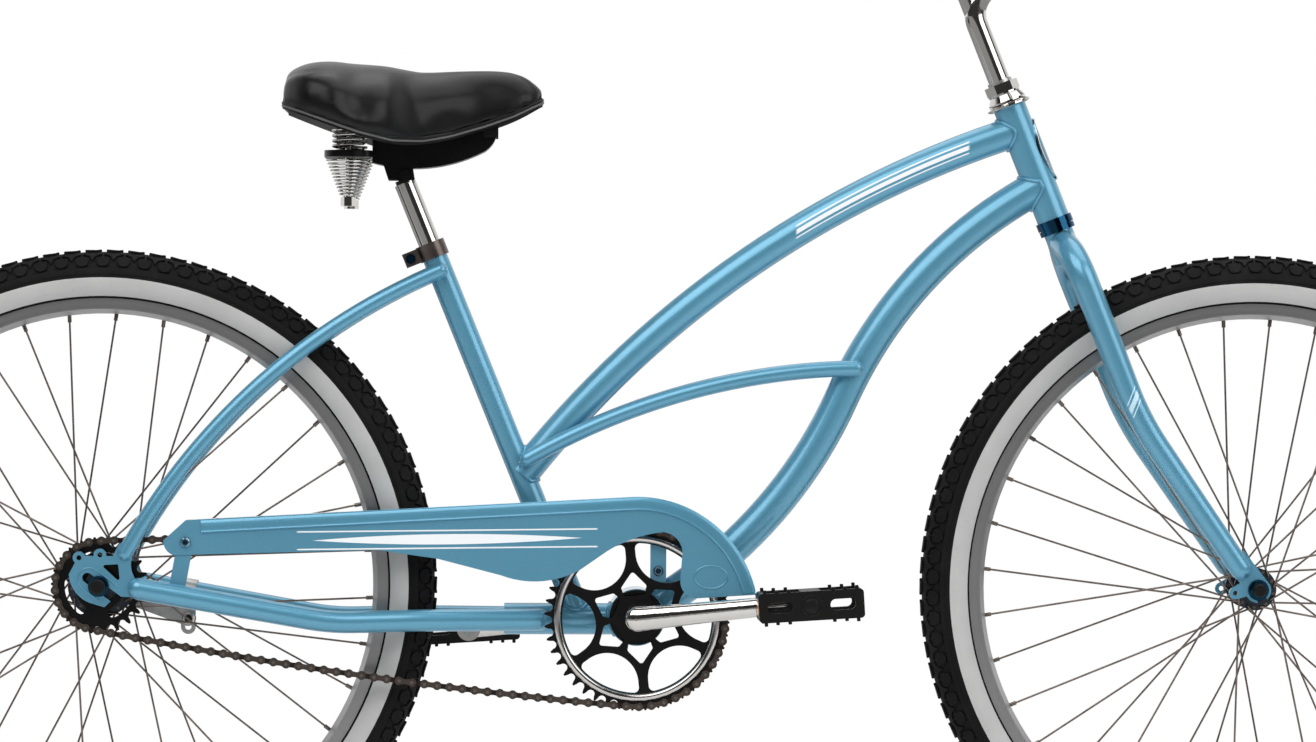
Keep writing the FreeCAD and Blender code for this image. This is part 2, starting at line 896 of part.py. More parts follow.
def dropout_plate():
    """Right rear dropout: slotted plate with two eyelets and tongues for both stays."""
    outer_face = d.rear_hub_width / 2 + d.dropout_thickness
    body = new_body("RearDropout", Placement(rear_axle - Y * outer_face.value, Rotation()))
    tongue_ahead = d.chain_stay_end_ahead + 14
    stay_ahead = d.seat_stay_end_ahead
    stay_rise = d.seat_stay_end_rise
    plate = [
        (-9, -16.5), (6, -21), (17, -10), (tongue_ahead, -12), (tongue_ahead, 4), (36, 8, -26),
        (stay_ahead + 11, stay_rise + 4), (stay_ahead + 6, stay_rise + 16), (stay_ahead - 6, stay_rise + 9),
        (stay_ahead - 12, 30), (-20, 30), (-29.5, 12, 32),
    ]
    add_pad(body, "XZ_Plane", d.dropout_thickness, plate, reverse=True)
    eyelets = ((-19.6, 28.3), (1.2, 31.2))
    add_pad(body, "XZ_Plane", d.dropout_thickness,
            *[(d.dropout_eyelet_radius, point) for point in eyelets], reverse=True)
    through = d.dropout_thickness * 4
    add_pocket(body, "XZ_Plane", through, *[(d.eyelet_hole_radius, point) for point in eyelets], middle=True)
    add_pocket(body, "XZ_Plane", through, rounded([(21.4, 3.6, 1.8), (19.4, 22, 1.5), (2.6, 21, 1.5)]),
               middle=True)
    half_slot = d.rear_axle_radius + d.axle_slot_gap
    slope = math.radians(-36.5)
    run = Vector(math.cos(slope), math.sin(slope), 0)
    side = Vector(-run.y, run.x, 0)
    back = -14.0
    mouth = 40.0
    slot = []
    for along, across, arc in ((mouth, half_slot, ()), (back, half_slot, (half_slot,)),
                               (back - half_slot.value, 0, (half_slot,)), (back, -half_slot, ()),
                               (mouth, -half_slot, ())):
        slot.append((run.x * along + side.x * across, run.y * along + side.y * across) + arc)
    add_pocket(body, "XZ_Plane", through, slot, middle=True)
    return body


def rear_triangle(yoke_bar, seat_mass):
    dropout = dropout_plate()
    keep(group("RearDropouts", dropout, mirrored(dropout)), "rear_dropouts")

    bend = d.chain_stay_bend.value
    chain_points = [
        from_bracket(-d.chain_stay_start, -d.chain_stay_start_offset, -d.yoke_drop),
        from_bracket(-d.chain_stay_tyre, -d.chain_stay_tyre_offset, -d.yoke_drop),
        from_bracket(-d.chain_stay_low, -d.chain_stay_low_offset, -d.chain_stay_low_drop),
        from_rear_axle(d.chain_stay_end_ahead, -d.chain_stay_end_offset, -d.chain_stay_end_drop),
    ]
    chain_line = rounded_route(chain_points, [bend, bend])
    chain_bar, chain_hollow = tube("ChainStay", chain_line, d.chain_stay_diameter, d.stay_wall,
                                   capped=(chain_points[0], chain_points[-1]))
    chain_stay = cut("ChainStayRight", chain_hollow, yoke_bar, dropout)
    keep(group("ChainStays", chain_stay, mirrored(chain_stay)), "chain_stays")

    top = on_seat(d.seat_tube_length - d.seat_stay_top_drop) - Y * d.seat_stay_top_offset.value
    plate_middle = d.rear_hub_width / 2 + d.dropout_thickness / 2
    end = from_rear_axle(d.seat_stay_end_ahead, -plate_middle, d.seat_stay_end_rise)
    stay_line = [bowed_edge(top, end, d.seat_stay_bow_radius.value, Z - X - Y * d.seat_stay_bow_spread.value)]
    stay_bar, stay_hollow = tube("SeatStay", stay_line, d.seat_stay_diameter, d.seat_stay_wall,
                                 capped=(top, end))
    seat_stay = cut("SeatStayRight", stay_hollow, seat_mass, dropout)
    edge = stay_line[0]
    span = edge.LastParameter - edge.FirstParameter
    crossing = edge.valueAt(edge.FirstParameter + span * d.seat_stay_bridge_share.value)
    bridge_bar = cross_cylinder("BridgeBar", d.seat_stay_bridge_diameter / 2, -2 * crossing.y,
                                Vector(crossing.x, 0, crossing.z))
    bridge = cut("SeatStayBridge", bridge_bar, stay_bar, mirrored(stay_bar))
    keep(group("SeatStays", seat_stay, mirrored(seat_stay), bridge), "seat_stays")
    return chain_bar


def head_badge():
    """Plain oval plate bent round the front of the head tube."""
    inner = d.head_tube_diameter / 2
    sleeve = turned("BadgeSleeve", ring_profile(0, d.head_tube_length, inner, inner + d.badge_thickness),
                    head_frame, upright=True)
    centre = on_head(0, 0, d.head_tube_length - d.badge_drop)
    oval = primitive("Part::Ellipse", "BadgeOval", Placement(centre, Rotation(Y, d.head_angle.value)),
                     MajorRadius=d.badge_height / 2, MinorRadius=d.badge_width / 2)
    punch = doc.addObject("Part::Extrusion", "BadgePunch")
    punch.Base = oval
    punch.Dir = steer_forward * d.head_tube_diameter.value
    punch.Solid = True
    keep(common("HeadBadge", sleeve, punch), "head_badge")


# Headset, fork and front axle

def headset():
    skirt_inner = d.steerer_radius + 1
    seat = d.head_tube_diameter / 2 - d.head_tube_wall
    ball_wall = d.head_ball_circle + d.head_ball_radius + d.running_gap
    ball_drop = d.cup_depth - d.head_ball_radius * 2 - d.running_gap * 2 - 1.5
    low = [
        (d.cup_skirt, skirt_inner), (d.cup_skirt, seat), (0, seat), (0, d.cup_radius),
        (-d.cup_depth, d.cup_radius),
        (-d.cup_depth, ball_wall), (-ball_drop, ball_wall), (-ball_drop, skirt_inner),
    ]
    top = d.head_tube_length
    lip = top + d.cup_depth - 2.5
    floor = top + ball_drop
    high = [
        (top - d.cup_skirt, skirt_inner), (top - d.cup_skirt, seat), (top, seat), (top, d.cup_radius),
        (top + 1.5, d.upper_flange_radius), (top + 3, d.upper_flange_radius), (lip, d.cup_radius),
        (lip, ball_wall), (floor, ball_wall), (floor, skirt_inner),
    ]
    lower_cup = turned("LowerCup", low, head_frame, upright=True)
    upper_cup = turned("UpperCup", high, head_frame, upright=True)
    keep(group("HeadsetCups", lower_cup, upper_cup), "headset_cups")

    race_top = -ball_drop - d.head_ball_radius * 2 - d.running_gap * 2
    crown_race = [
        (-d.race_drop, d.steerer_radius), (-d.race_drop, d.race_radius), (-d.cup_depth - 0.5, d.race_radius),
        (-d.cup_depth - 0.5, ball_wall - 0.5), (race_top, ball_wall - 0.5), (race_top, d.steerer_radius),
    ]
    cone_low = floor + d.head_ball_radius * 2 + d.running_gap * 2
    cone_top = cone_low + d.upper_race_height
    adjusting_race = [
        (cone_low, d.steerer_radius), (cone_low, ball_wall - 0.5), (lip + 0.5, ball_wall - 0.5),
        (lip + 0.5, d.upper_race_radius), (lip + 2, d.upper_race_radius), (cone_top, d.steerer_radius + 3),
        (cone_top, d.steerer_radius),
    ]
    races = [turned("CrownRace", crown_race, head_frame, upright=True),
             turned("AdjustingRace", adjusting_race, head_frame, upright=True)]

    nut_low = cone_top + d.keyed_washer_thickness
    washer = turned("KeyedWasher", ring_profile(cone_top, nut_low, d.steerer_radius,
                                                d.lock_nut_flats / 2 + 1.5),
                    head_frame, upright=True)
    nut_bore = cylinder("LockNutBore", d.steerer_radius, d.lock_nut_height * 3,
                        on_head(0, 0, nut_low - d.lock_nut_height), steer_up)
    nut = cut("LockNut", hexagon("LockNutHexagon", d.lock_nut_flats, d.lock_nut_height,
                                 on_head(0, 0, nut_low), steer_up), nut_bore)
    keep(group("HeadsetHardware", *races, washer, nut), "headset_hardware")

    low_balls = on_head(0, 0, -ball_drop - d.head_ball_radius - d.running_gap)
    high_balls = on_head(0, 0, floor + d.head_ball_radius + d.running_gap)
    return [ball_cage(d.head_ball_radius, d.head_ball_circle, d.head_ball_count, centre, steer_up)
            for centre in (low_balls, high_balls)]


def fork():
    bore = d.seat_post_diameter / 2 + d.running_gap
    steerer = [
        (-d.crown_drop, bore), (-d.crown_drop, d.crown_radius), (-d.race_drop, d.crown_radius),
        (-d.race_drop, d.steerer_radius), (d.steerer_rise, d.steerer_radius), (d.steerer_rise, bore),
    ]
    keep(turned("ForkSteerer", steerer, head_frame, upright=True), "fork_steerer")
    crown_mass = cylinder("CrownMass", d.crown_radius, d.crown_drop * 2, on_head(0, 0, -d.crown_drop * 2),
                          steer_up)

    inner_face = d.front_hub_width / 2
    plate = new_body("ForkDropout",
                     Placement(front_axle - Y * inner_face.value, Rotation(Y, d.head_angle.value - 90)))
    blade_lead = d.fork_tip_lead - d.fork_rake
    blade_rise = d.axle_to_head - d.fork_tip_drop
    half = d.fork_blade_tip / 2 - 1.5
    thickness = d.dropout_thickness
    add_pad(plate, "XZ_Plane", thickness, [
        (-d.fork_dropout_radius, 0, d.fork_dropout_radius),
        (0, -d.fork_dropout_radius, d.fork_dropout_radius),
        (d.fork_dropout_radius, 0),
        (blade_lead + half, blade_rise + 16), (blade_lead - half, blade_rise + 16)])
    eyelet = (-d.fork_eyelet_back, d.fork_eyelet_rise)
    add_pad(plate, "XZ_Plane", thickness, [
        (-d.fork_eyelet_back, d.fork_eyelet_rise - d.dropout_eyelet_radius),
        (-d.fork_dropout_radius + 3, -2), (-d.fork_dropout_radius + 3, d.fork_eyelet_rise + 8),
        (-d.fork_eyelet_back, d.fork_eyelet_rise + d.dropout_eyelet_radius, d.dropout_eyelet_radius),
        (-d.fork_eyelet_back - d.dropout_eyelet_radius, d.fork_eyelet_rise, d.dropout_eyelet_radius)])
    add_pocket(plate, "XZ_Plane", thickness * 4, (d.eyelet_hole_radius, eyelet), middle=True)
    slot_half = d.front_axle_radius + d.axle_slot_gap
    add_pocket(plate, "XZ_Plane", thickness * 4, [
        (slot_half, 0, slot_half), (0, slot_half, slot_half), (-slot_half, 0),
        (-slot_half, -d.fork_dropout_radius * 2),
        (slot_half, -d.fork_dropout_radius * 2)], middle=True)
    keep(group("ForkDropouts", plate, mirrored(plate)), "fork_dropouts")

    offset = -d.fork_blade_offset
    points = [
        on_head(0, -d.fork_crown_reach, -d.fork_crown_start),
        on_head(d.fork_blade_lead, offset, -d.fork_shoulder_drop),
        on_head(d.fork_blade_lead, offset, -d.fork_bend_drop),
        on_head(d.fork_tip_lead, offset, -d.fork_tip_drop),
    ]
    line = rounded_route(points, [d.fork_shoulder_radius.value, d.fork_bend_radius.value])
    bar, hollow = tube("ForkBlade", line, d.fork_blade_top, d.fork_blade_wall, end_diameter=d.fork_blade_tip)
    tip = sphere("ForkTip", d.fork_blade_tip / 2, points[-1])
    tip_core = sphere("ForkTipCore", d.fork_blade_tip / 2 - d.fork_blade_wall, points[-1])
    closed = cut("ForkBladeClosed", fuse("ForkBladeTipped", hollow, tip), tip_core)
    blade = cut("ForkBladeRight", closed, crown_mass, plate)
    keep(group("ForkBlades", blade, mirrored(blade)), "fork_blades")


def axle_set(prefix, axle, radius, length, hub_width):
    """Axle with the washers and nuts that hold it outside the dropouts."""
    rod = cross_cylinder(prefix + "AxleRod", radius, length, axle)
    keep(rod, prefix.lower() + "_axle")
    pieces = []
    for side in (-1, 1):
        outer = hub_width / 2 + d.dropout_thickness
        direction = Y * side
        washer = cylinder(prefix + "AxleWasher", d.axle_washer_radius, d.axle_washer_thickness,
                          axle + direction * outer.value, direction)
        nut_start = outer + d.axle_washer_thickness
        nut = hexagon(prefix + "AxleNut", d.axle_nut_flats, d.axle_nut_height,
                      axle + direction * nut_start.value, direction)
        pieces += [cut(prefix + "Washer", washer, rod), cut(prefix + "Nut", nut, rod)]
    return pieces


# Wheels

def tyre_and_rim(prefix, axle, turn):
    half_bead = d.bead_width / 2
    crown = d.tyre_width / 2
    middle = d.tyre_radius - crown
    lining = crown - d.tyre_wall

    def on_circle(radius, half_width):
        return middle.value - math.sqrt(radius.value ** 2 - half_width.value ** 2)

    bead_inner = half_bead - d.bead_thickness
    ledge = d.rim_flange_radius + d.tyre_rim_gap
    foot_half = math.sqrt(crown.value ** 2 - (middle - ledge).value ** 2)
    inner_foot = on_circle(lining, bead_inner)
    wheel_place = Placement(axle, Rotation(-Y, turn.value))
    casing = [
        (half_bead, d.bead_radius), (half_bead, ledge), (foot_half, ledge, crown), (0, d.tyre_radius, crown),
        (-foot_half, ledge), (-half_bead, ledge), (-half_bead, d.bead_radius), (-bead_inner, d.bead_radius),
        (-bead_inner, inner_foot, -lining),
        (0, middle + lining, -lining), (bead_inner, inner_foot), (bead_inner, d.bead_radius),
    ]
    keep(turned(prefix + "Tyre", casing, wheel_place), prefix.lower() + "_tyre")

    inner_radius = lining - d.tube_gap
    ring = primitive("Part::Torus", prefix + "TubeRing", place(axle, Y), Radius1=middle, Radius2=inner_radius)
    ring_bore = primitive("Part::Torus", prefix + "TubeBore", place(axle, Y), Radius1=middle,
                          Radius2=inner_radius - d.tube_wall)
    outward = Rotation(-Y, turn.value + 180 / d.spoke_count.value).multVec(-Z)
    valve_foot = middle - inner_radius + d.tube_wall - d.valve_length
    valve = cylinder(prefix + "Valve", d.valve_radius, d.valve_length, axle + outward * valve_foot.value,
                     outward)
    keep(cut(prefix + "InnerTube", fuse(prefix + "TubeValve", ring, valve), ring_bore),
         prefix.lower() + "_inner_tube")

    lip = half_bead + d.rim_bead_gap
    side = lip + d.rim_wall
    face = d.rim_face_width / 2
    well = d.rim_inner_radius + d.rim_floor
    section = [
        (side, d.rim_flange_radius), (side, d.rim_shoulder_radius), (face, d.rim_inner_radius),
        (-face, d.rim_inner_radius), (-side, d.rim_shoulder_radius), (-side, d.rim_flange_radius),
        (-lip, d.rim_flange_radius), (-lip, d.bead_radius - 0.5), (-face, well), (face, well),
        (lip, d.bead_radius - 0.5), (lip, d.rim_flange_radius),
    ]
    rim = turned(prefix + "Rim", section, wheel_place)
    drill = add_pocket(rim, "XY_Plane", d.tyre_radius, (d.rim_hole_radius, (0, 0)))
    add_pattern(rim, "Y_Axis", d.spoke_count, drill)
    valve_drill = cylinder(prefix + "ValveDrill", d.valve_radius + d.rim_bead_gap, d.tyre_radius, axle,
                           outward)
    keep(cut(prefix + "RimDrilled", rim, valve_drill), prefix.lower() + "_rim")
    return wheel_place


def spokes(prefix, wheel_place, circle_radius, flange_spacing):
    """Crossed spokes with elbows, and the nipples that hold them in the rim."""
    per_side = int(d.spoke_count.value) // 2
    step = 360 / per_side
    lean = d.spoke_crossings.value * step
    radius = d.spoke_radius.value
    half_flange = d.flange_thickness.value / 2
    outer_gap = radius * 2.9
    inner_gap = radius * 1.4
    hole_middle = d.rim_inner_radius.value + d.rim_floor.value / 2
    beyond = d.rim_floor.value / 2 + d.nipple_seat_lift.value
    pieces = []
    for side in (-1, 1):
        flange = side * flange_spacing.value / 2
        for outside in (True, False):
            if outside:
                elbow_y = flange + side * (half_flange + outer_gap)
                head_y = flange - side * (half_flange + 0.3)
            else:
                elbow_y = flange - side * (half_flange + inner_gap)
                head_y = flange + side * (half_flange + 0.3)
            away = 1 if head_y > elbow_y else -1
            corner = Vector(circle_radius.value, elbow_y, 0)
            landing = math.radians(lean if outside else -lean)
            hole = Vector(hole_middle * math.cos(landing), 0, hole_middle * math.sin(landing))
            run = (hole - corner).normalize()
            target = hole + run * beyond
            bore_end = target - run * (d.nipple_length.value - d.nipple_bore_length.value)
            straight = Part.makeCylinder(radius, (bore_end - corner).Length, corner, run)
            elbow = Part.makeCylinder(radius, abs(head_y - elbow_y), corner, Y * away)
            head = Part.makeCylinder(d.spoke_head_radius.value, radius, Vector(corner.x, head_y, 0), Y * away)
            spoke = straight.fuse([elbow, Part.makeSphere(radius, corner), head]).removeSplitter()
            nipple = nipple_shape(target, run)
            first = 0 if outside else step
            if side > 0:
                first += step / 2
            for turn in range(0, per_side, 2):
                rotation = Placement(Vector(), Rotation(-Y, first + turn * step))
                for shape in (spoke, nipple):
                    copy = shape.copy()
                    copy.Placement = rotation
                    pieces.append(copy)
    keep(coded(prefix + "Spokes", Part.makeCompound(pieces), wheel_place), prefix.lower() + "_spokes")


def nipple_shape(target, run):
    """A nipple whose head ends at the target, with a bore for the spoke's end."""
    start = target - run * d.nipple_length.value
    body = Part.makeCylinder(d.nipple_radius.value, d.nipple_length.value, start, run)
    head_start = target - run * d.nipple_head_length.value
    head = Part.makeCylinder(d.nipple_head_radius.value, d.nipple_head_length.value, head_start, run)
    bore = Part.makeCylinder(d.spoke_radius.value + d.running_gap.value, d.nipple_bore_length.value + 1,
                             start - run, run)
    return body.fuse(head).cut(bore).removeSplitter()


def flange_holes(body, circle_radius, reach):
    """Spoke holes in both flanges, the left ones half a step on."""
    per_side = d.spoke_count / 2
    radius = d.spoke_radius + d.spoke_hole_gap
    turn = math.pi / per_side.value
    right = add_pocket(body, "XZ_Plane", reach, (radius, (circle_radius, 0)), reverse=True)
    left = add_pocket(body, "XZ_Plane", reach,
                      (radius, (circle_radius * math.cos(turn), circle_radius * math.sin(turn))))
    add_pattern(body, "Y_Axis", per_side, right, left)


def front_wheel():
    wheel_place = tyre_and_rim("Front", front_axle, d.front_spoke_turn)
    spokes("Front", wheel_place, d.front_spoke_circle, d.front_flange_spacing)
    half = d.front_shell_width / 2
    outer = d.front_flange_spacing / 2 + d.flange_thickness / 2
    inner = outer - d.flange_thickness
    race = d.front_ball_circle + d.wheel_ball_radius + d.running_gap
    cup_floor = outer + 1
    profile = [
        (-half, race), (-half, d.front_cup_radius), (-outer, d.front_cup_radius),
        (-outer, d.front_flange_radius),
        (-inner, d.front_flange_radius), (-inner, d.front_barrel_radius + 3),
        (-inner + 6, d.front_barrel_radius),
        (inner - 6, d.front_barrel_radius), (inner, d.front_barrel_radius + 3),
        (inner, d.front_flange_radius),
        (outer, d.front_flange_radius), (outer, d.front_cup_radius), (half, d.front_cup_radius), (half, race),
        (cup_floor, race), (cup_floor, d.front_barrel_bore), (-cup_floor, d.front_barrel_bore),
        (-cup_floor, race),
    ]
    shell = turned("FrontHubShell", profile, wheel_place)
    flange_holes(shell, d.front_spoke_circle, d.front_hub_width)
    keep(shell, "front_hub_shell")

    pieces = axle_set("Front", front_axle, d.front_axle_radius, d.front_axle_length, d.front_hub_width)
    cone_radius = d.front_ball_circle - d.wheel_ball_radius - d.running_gap
    balls = []
    for side in (-1, 1):
        start = front_axle + Y * side * cup_floor.value
        cone_end = d.front_hub_width / 2 - d.lock_nut_width
        cone = turned("FrontCone", ring_profile((cup_floor - 4) * side, cone_end * side, d.front_axle_radius,
                                                cone_radius), Placement(front_axle, Rotation()))
        nut = cut("FrontLockNut", hexagon("FrontLockHexagon", d.axle_nut_flats, d.lock_nut_width,
                                          front_axle + Y * side * cone_end.value, Y * side),
                  cylinder("FrontLockBore", d.front_axle_radius, d.front_axle_length, front_axle, Y * side))
        pieces += [cone, nut]
        centre = start + Y * side * (d.wheel_ball_radius.value + d.part_gap.value)
        balls.append(ball_cage(d.wheel_ball_radius, d.front_ball_circle, d.wheel_ball_count, centre, Y))
    keep(group("FrontAxleNuts", *pieces), "front_axle_nuts")
    keep(coded("FrontHubBearings", Part.makeCompound(balls)), "front_hub_bearings")


def rear_wheel():
    wheel_place = tyre_and_rim("Rear", rear_axle, d.rear_spoke_turn)
    spokes("Rear", wheel_place, d.rear_spoke_circle, d.rear_flange_spacing)
    half = d.rear_shell_width / 2
    outer = d.rear_flange_spacing / 2 + d.flange_thickness / 2
    inner = outer - d.flange_thickness
    race = d.rear_ball_circle + d.rear_ball_radius + d.running_gap
    barrel = d.rear_barrel_radius
    profile = [
        (-half, race), (-half, barrel), (-outer, barrel), (-outer, d.rear_flange_radius),
        (-inner, d.rear_flange_radius), (-inner, barrel), (inner, barrel), (inner, d.rear_flange_radius),
        (outer, d.rear_flange_radius), (outer, barrel), (half, barrel), (half, race),
    ]
    shell = turned("RearHubShell", profile, wheel_place)
    flange_holes(shell, d.rear_spoke_circle, d.rear_hub_width)
    keep(shell, "rear_hub_shell")

    pieces = axle_set("Rear", rear_axle, d.rear_axle_radius, d.rear_axle_length, d.rear_hub_width)
    arm_start = brake_arm_face()
    cone = turned("BrakeCone", [
        (d.part_gap + 4, d.rear_axle_radius), (d.part_gap + 4, d.driver_radius),
        (half + d.part_gap, d.driver_radius),
        (half + d.part_gap, d.rear_barrel_radius - 3), (arm_start, d.rear_barrel_radius - 3),
        (arm_start, d.rear_axle_radius)], Placement(rear_axle, Rotation()))
    pieces.append(cone)
    for side, start in ((1, arm_start + d.brake_arm_thickness),
                        (-1, d.rear_hub_width / 2 - d.lock_nut_width)):
        length = d.rear_hub_width / 2 - start
        hexagon_part = hexagon("RearLockHexagon", d.axle_nut_flats, length,
                               rear_axle + Y * side * start.value, Y * side)
        bore = cylinder("RearLockBore", d.rear_axle_radius, d.rear_axle_length, rear_axle, Y * side)
        pieces.append(cut("RearLockNut", hexagon_part, bore))
    keep(group("RearAxleNuts", *pieces), "rear_axle_nuts")
    reach = half.value - d.rear_ball_radius.value - 1
    return [ball_cage(d.rear_ball_radius, d.rear_ball_circle, d.rear_ball_count, rear_axle + Y * side * reach,
                      Y)
            for side in (-1, 1)]


# Chain and its sprockets

def pitch_radius(teeth):
    return d.chain_pitch.value / (2 * math.sin(math.pi / teeth.value))


class ChainPath:
    """The loop round both sprockets: straight on top, hanging slack in one arc below."""

    def __init__(self, slack_radius):
        self.front = Vector(bracket.x, bracket.z, 0)
        self.rear = Vector(rear_axle.x, rear_axle.z, 0)
        self.front_radius = pitch_radius(d.ring_teeth)
        self.rear_radius = pitch_radius(d.rear_teeth)
        line = self.rear - self.front
        heading = math.atan2(line.y, line.x)
        spread = math.acos((self.front_radius - self.rear_radius) / line.Length)
        top = heading - spread
        front_gap = slack_radius - self.front_radius
        rear_gap = slack_radius - self.rear_radius
        cosine = (front_gap ** 2 + line.Length ** 2 - rear_gap ** 2) / (2 * front_gap * line.Length)
        rise = heading - math.acos(cosine)
        self.slack_centre = self.front + Vector(math.cos(rise), math.sin(rise), 0) * front_gap
        to_front = self.front - self.slack_centre
        to_rear = self.rear - self.slack_centre
        front_low = math.atan2(to_front.y, to_front.x)
        rear_low = math.atan2(to_rear.y, to_rear.x)
        self.start = self.front + Vector(math.cos(top), math.sin(top), 0) * self.front_radius
        self.top_end = self.rear + Vector(math.cos(top), math.sin(top), 0) * self.rear_radius
        self.top_length = (self.top_end - self.start).Length
        self.top = top
        self.rear_sweep = (rear_low - top) % (2 * math.pi)
        self.slack_radius = slack_radius
        self.rear_low = rear_low
        self.slack_sweep = (front_low - rear_low) % (2 * math.pi)
        self.front_low = front_low
        self.front_sweep = (top - front_low) % (2 * math.pi)
        self.lengths = (self.top_length, self.rear_radius * self.rear_sweep,
                        slack_radius * self.slack_sweep, self.front_radius * self.front_sweep)
        self.length = sum(self.lengths)

    def at(self, distance):
        distance %= self.length
        if distance < self.lengths[0]:
            return self.start + (self.top_end - self.start) * (distance / self.top_length)
        distance -= self.lengths[0]
        arcs = ((self.rear, self.rear_radius, self.top),
                (self.slack_centre, self.slack_radius, self.rear_low),
                (self.front, self.front_radius, self.front_low))
        for (centre, radius, angle), length in zip(arcs, self.lengths[1:]):
            if distance <= length:
                turn = angle + distance / radius
                return centre + Vector(math.cos(turn), math.sin(turn), 0) * radius
            distance -= length
        return Vector(self.start)

    def joints(self, count):
        """Pin places one pitch apart, and how far the last one runs past the first."""
        pitch = d.chain_pitch.value
        places = [0.0]
        for _ in range(count):
            low = places[-1] + pitch
            high = low + pitch * 0.1
            here = self.at(places[-1])
            for _ in range(30):
                middle = (low + high) / 2
                if (self.at(middle) - here).Length < pitch:
                    low = middle
                else:
                    high = middle
            places.append(low)
        return [self.at(place_along) for place_along in places[:-1]], places[-1] - self.length


def chain_joints():
    """Pin places of the whole chain, with the slack that its number of links leaves."""
    count = int(d.chain_links.value)
    tight = d.chain_stay_reach.value * 40
    loose = d.chain_stay_reach.value * 0.8
    for _ in range(40):
        middle = math.sqrt(tight * loose)
        path = ChainPath(middle)
        points, overrun = path.joints(count)
        if overrun < 0:
            loose = middle
        else:
            tight = middle
    return path, points


def link_plate(inner_face, thickness):
    """A waisted plate between two pins, lying in the XZ plane."""
    pitch = d.chain_pitch.value
    radius = d.link_plate_radius.value
    waist = d.link_plate_waist.value
    arcs = (((0, radius), (-radius, 0), (0, -radius)), ((0, -radius), (pitch / 2, -waist), (pitch, -radius)),
            ((pitch, -radius), (pitch + radius, 0), (pitch, radius)),
            ((pitch, radius), (pitch / 2, waist), (0, radius)))
    edges = [Part.Arc(*[Vector(x, inner_face, z) for x, z in arc]).toShape() for arc in arcs]
    return Part.Face(Part.Wire(edges)).extrude(Y * thickness)


def rods(radius, half_width):
    """A pair of cross rods, one at each pin place."""
    return [Part.makeCylinder(radius, half_width * 2, Vector(x, -half_width, 0), Y)
            for x in (0, d.chain_pitch.value)]


def chain():
    thickness = d.link_plate_thickness.value
    inner = d.link_inner_width.value / 2
    outer = inner + thickness + d.link_play.value
    hole = d.pin_radius.value + d.link_play.value
    inner_link = link_plate(inner, thickness).fuse(
        [link_plate(-inner - thickness, thickness)] + rods(d.roller_radius.value,
                                                           inner)).cut(rods(hole, outer))
    outer_link = link_plate(outer, thickness).fuse(
        [link_plate(-outer - thickness, thickness)]
        + rods(d.pin_radius.value, outer + thickness + d.pin_overhang.value))
    kinds = [shape.removeSplitter() for shape in (inner_link, outer_link)]
    path, points = chain_joints()
    links = []
    for index, point in enumerate(points):
        run = points[(index + 1) % len(points)] - point
        turn = math.degrees(math.atan2(run.y, run.x))
        link = kinds[index % 2].copy()
        link.Placement = Placement(Vector(point.x, -d.chain_line.value, point.y), Rotation(-Y, turn))
        links.append(link)
    keep(coded("Chain", Part.makeCompound(links)), "chain")

    def phase(centre, radius):
        on_teeth = [p for p in points if abs((p - centre).Length - radius) < 0.001]
        tooth = on_teeth[len(on_teeth) // 2] - centre
        return math.degrees(math.atan2(tooth.y, tooth.x))

    return phase(path.front, path.front_radius), phase(path.rear, path.rear_radius)


def toothed_disc(name, teeth, placement):
    """A plain disc with the gaps between its teeth cut for the chain's rollers."""
    radius = pitch_radius(teeth)
    tip = radius + d.tooth_height.value
    gap = d.roller_radius + d.tooth_gap
    tip_half = (d.chain_pitch.value * tip / radius - d.tooth_tip_width.value) / 2
    spread = (tip_half - gap.value) / d.tooth_height.value
    beyond = d.tooth_height.value * 1.5
    body = new_body(name, placement)
    add_pad(body, "XZ_Plane", d.sprocket_thickness, (tip, (0, 0)), middle=True)
    gap_cut = add_pocket(body, "XZ_Plane", d.sprocket_thickness * 2, [
        (radius + beyond, gap.value + spread * beyond), (radius, gap, gap), (radius - gap.value, 0, gap),
        (radius, -gap), (radius + beyond, -gap.value - spread * beyond)], middle=True)
    add_pattern(body, "Y_Axis", teeth, gap_cut)
    return body


def polar(radius, degrees):
    return radius * math.cos(math.radians(degrees)), radius * math.sin(math.radians(degrees))


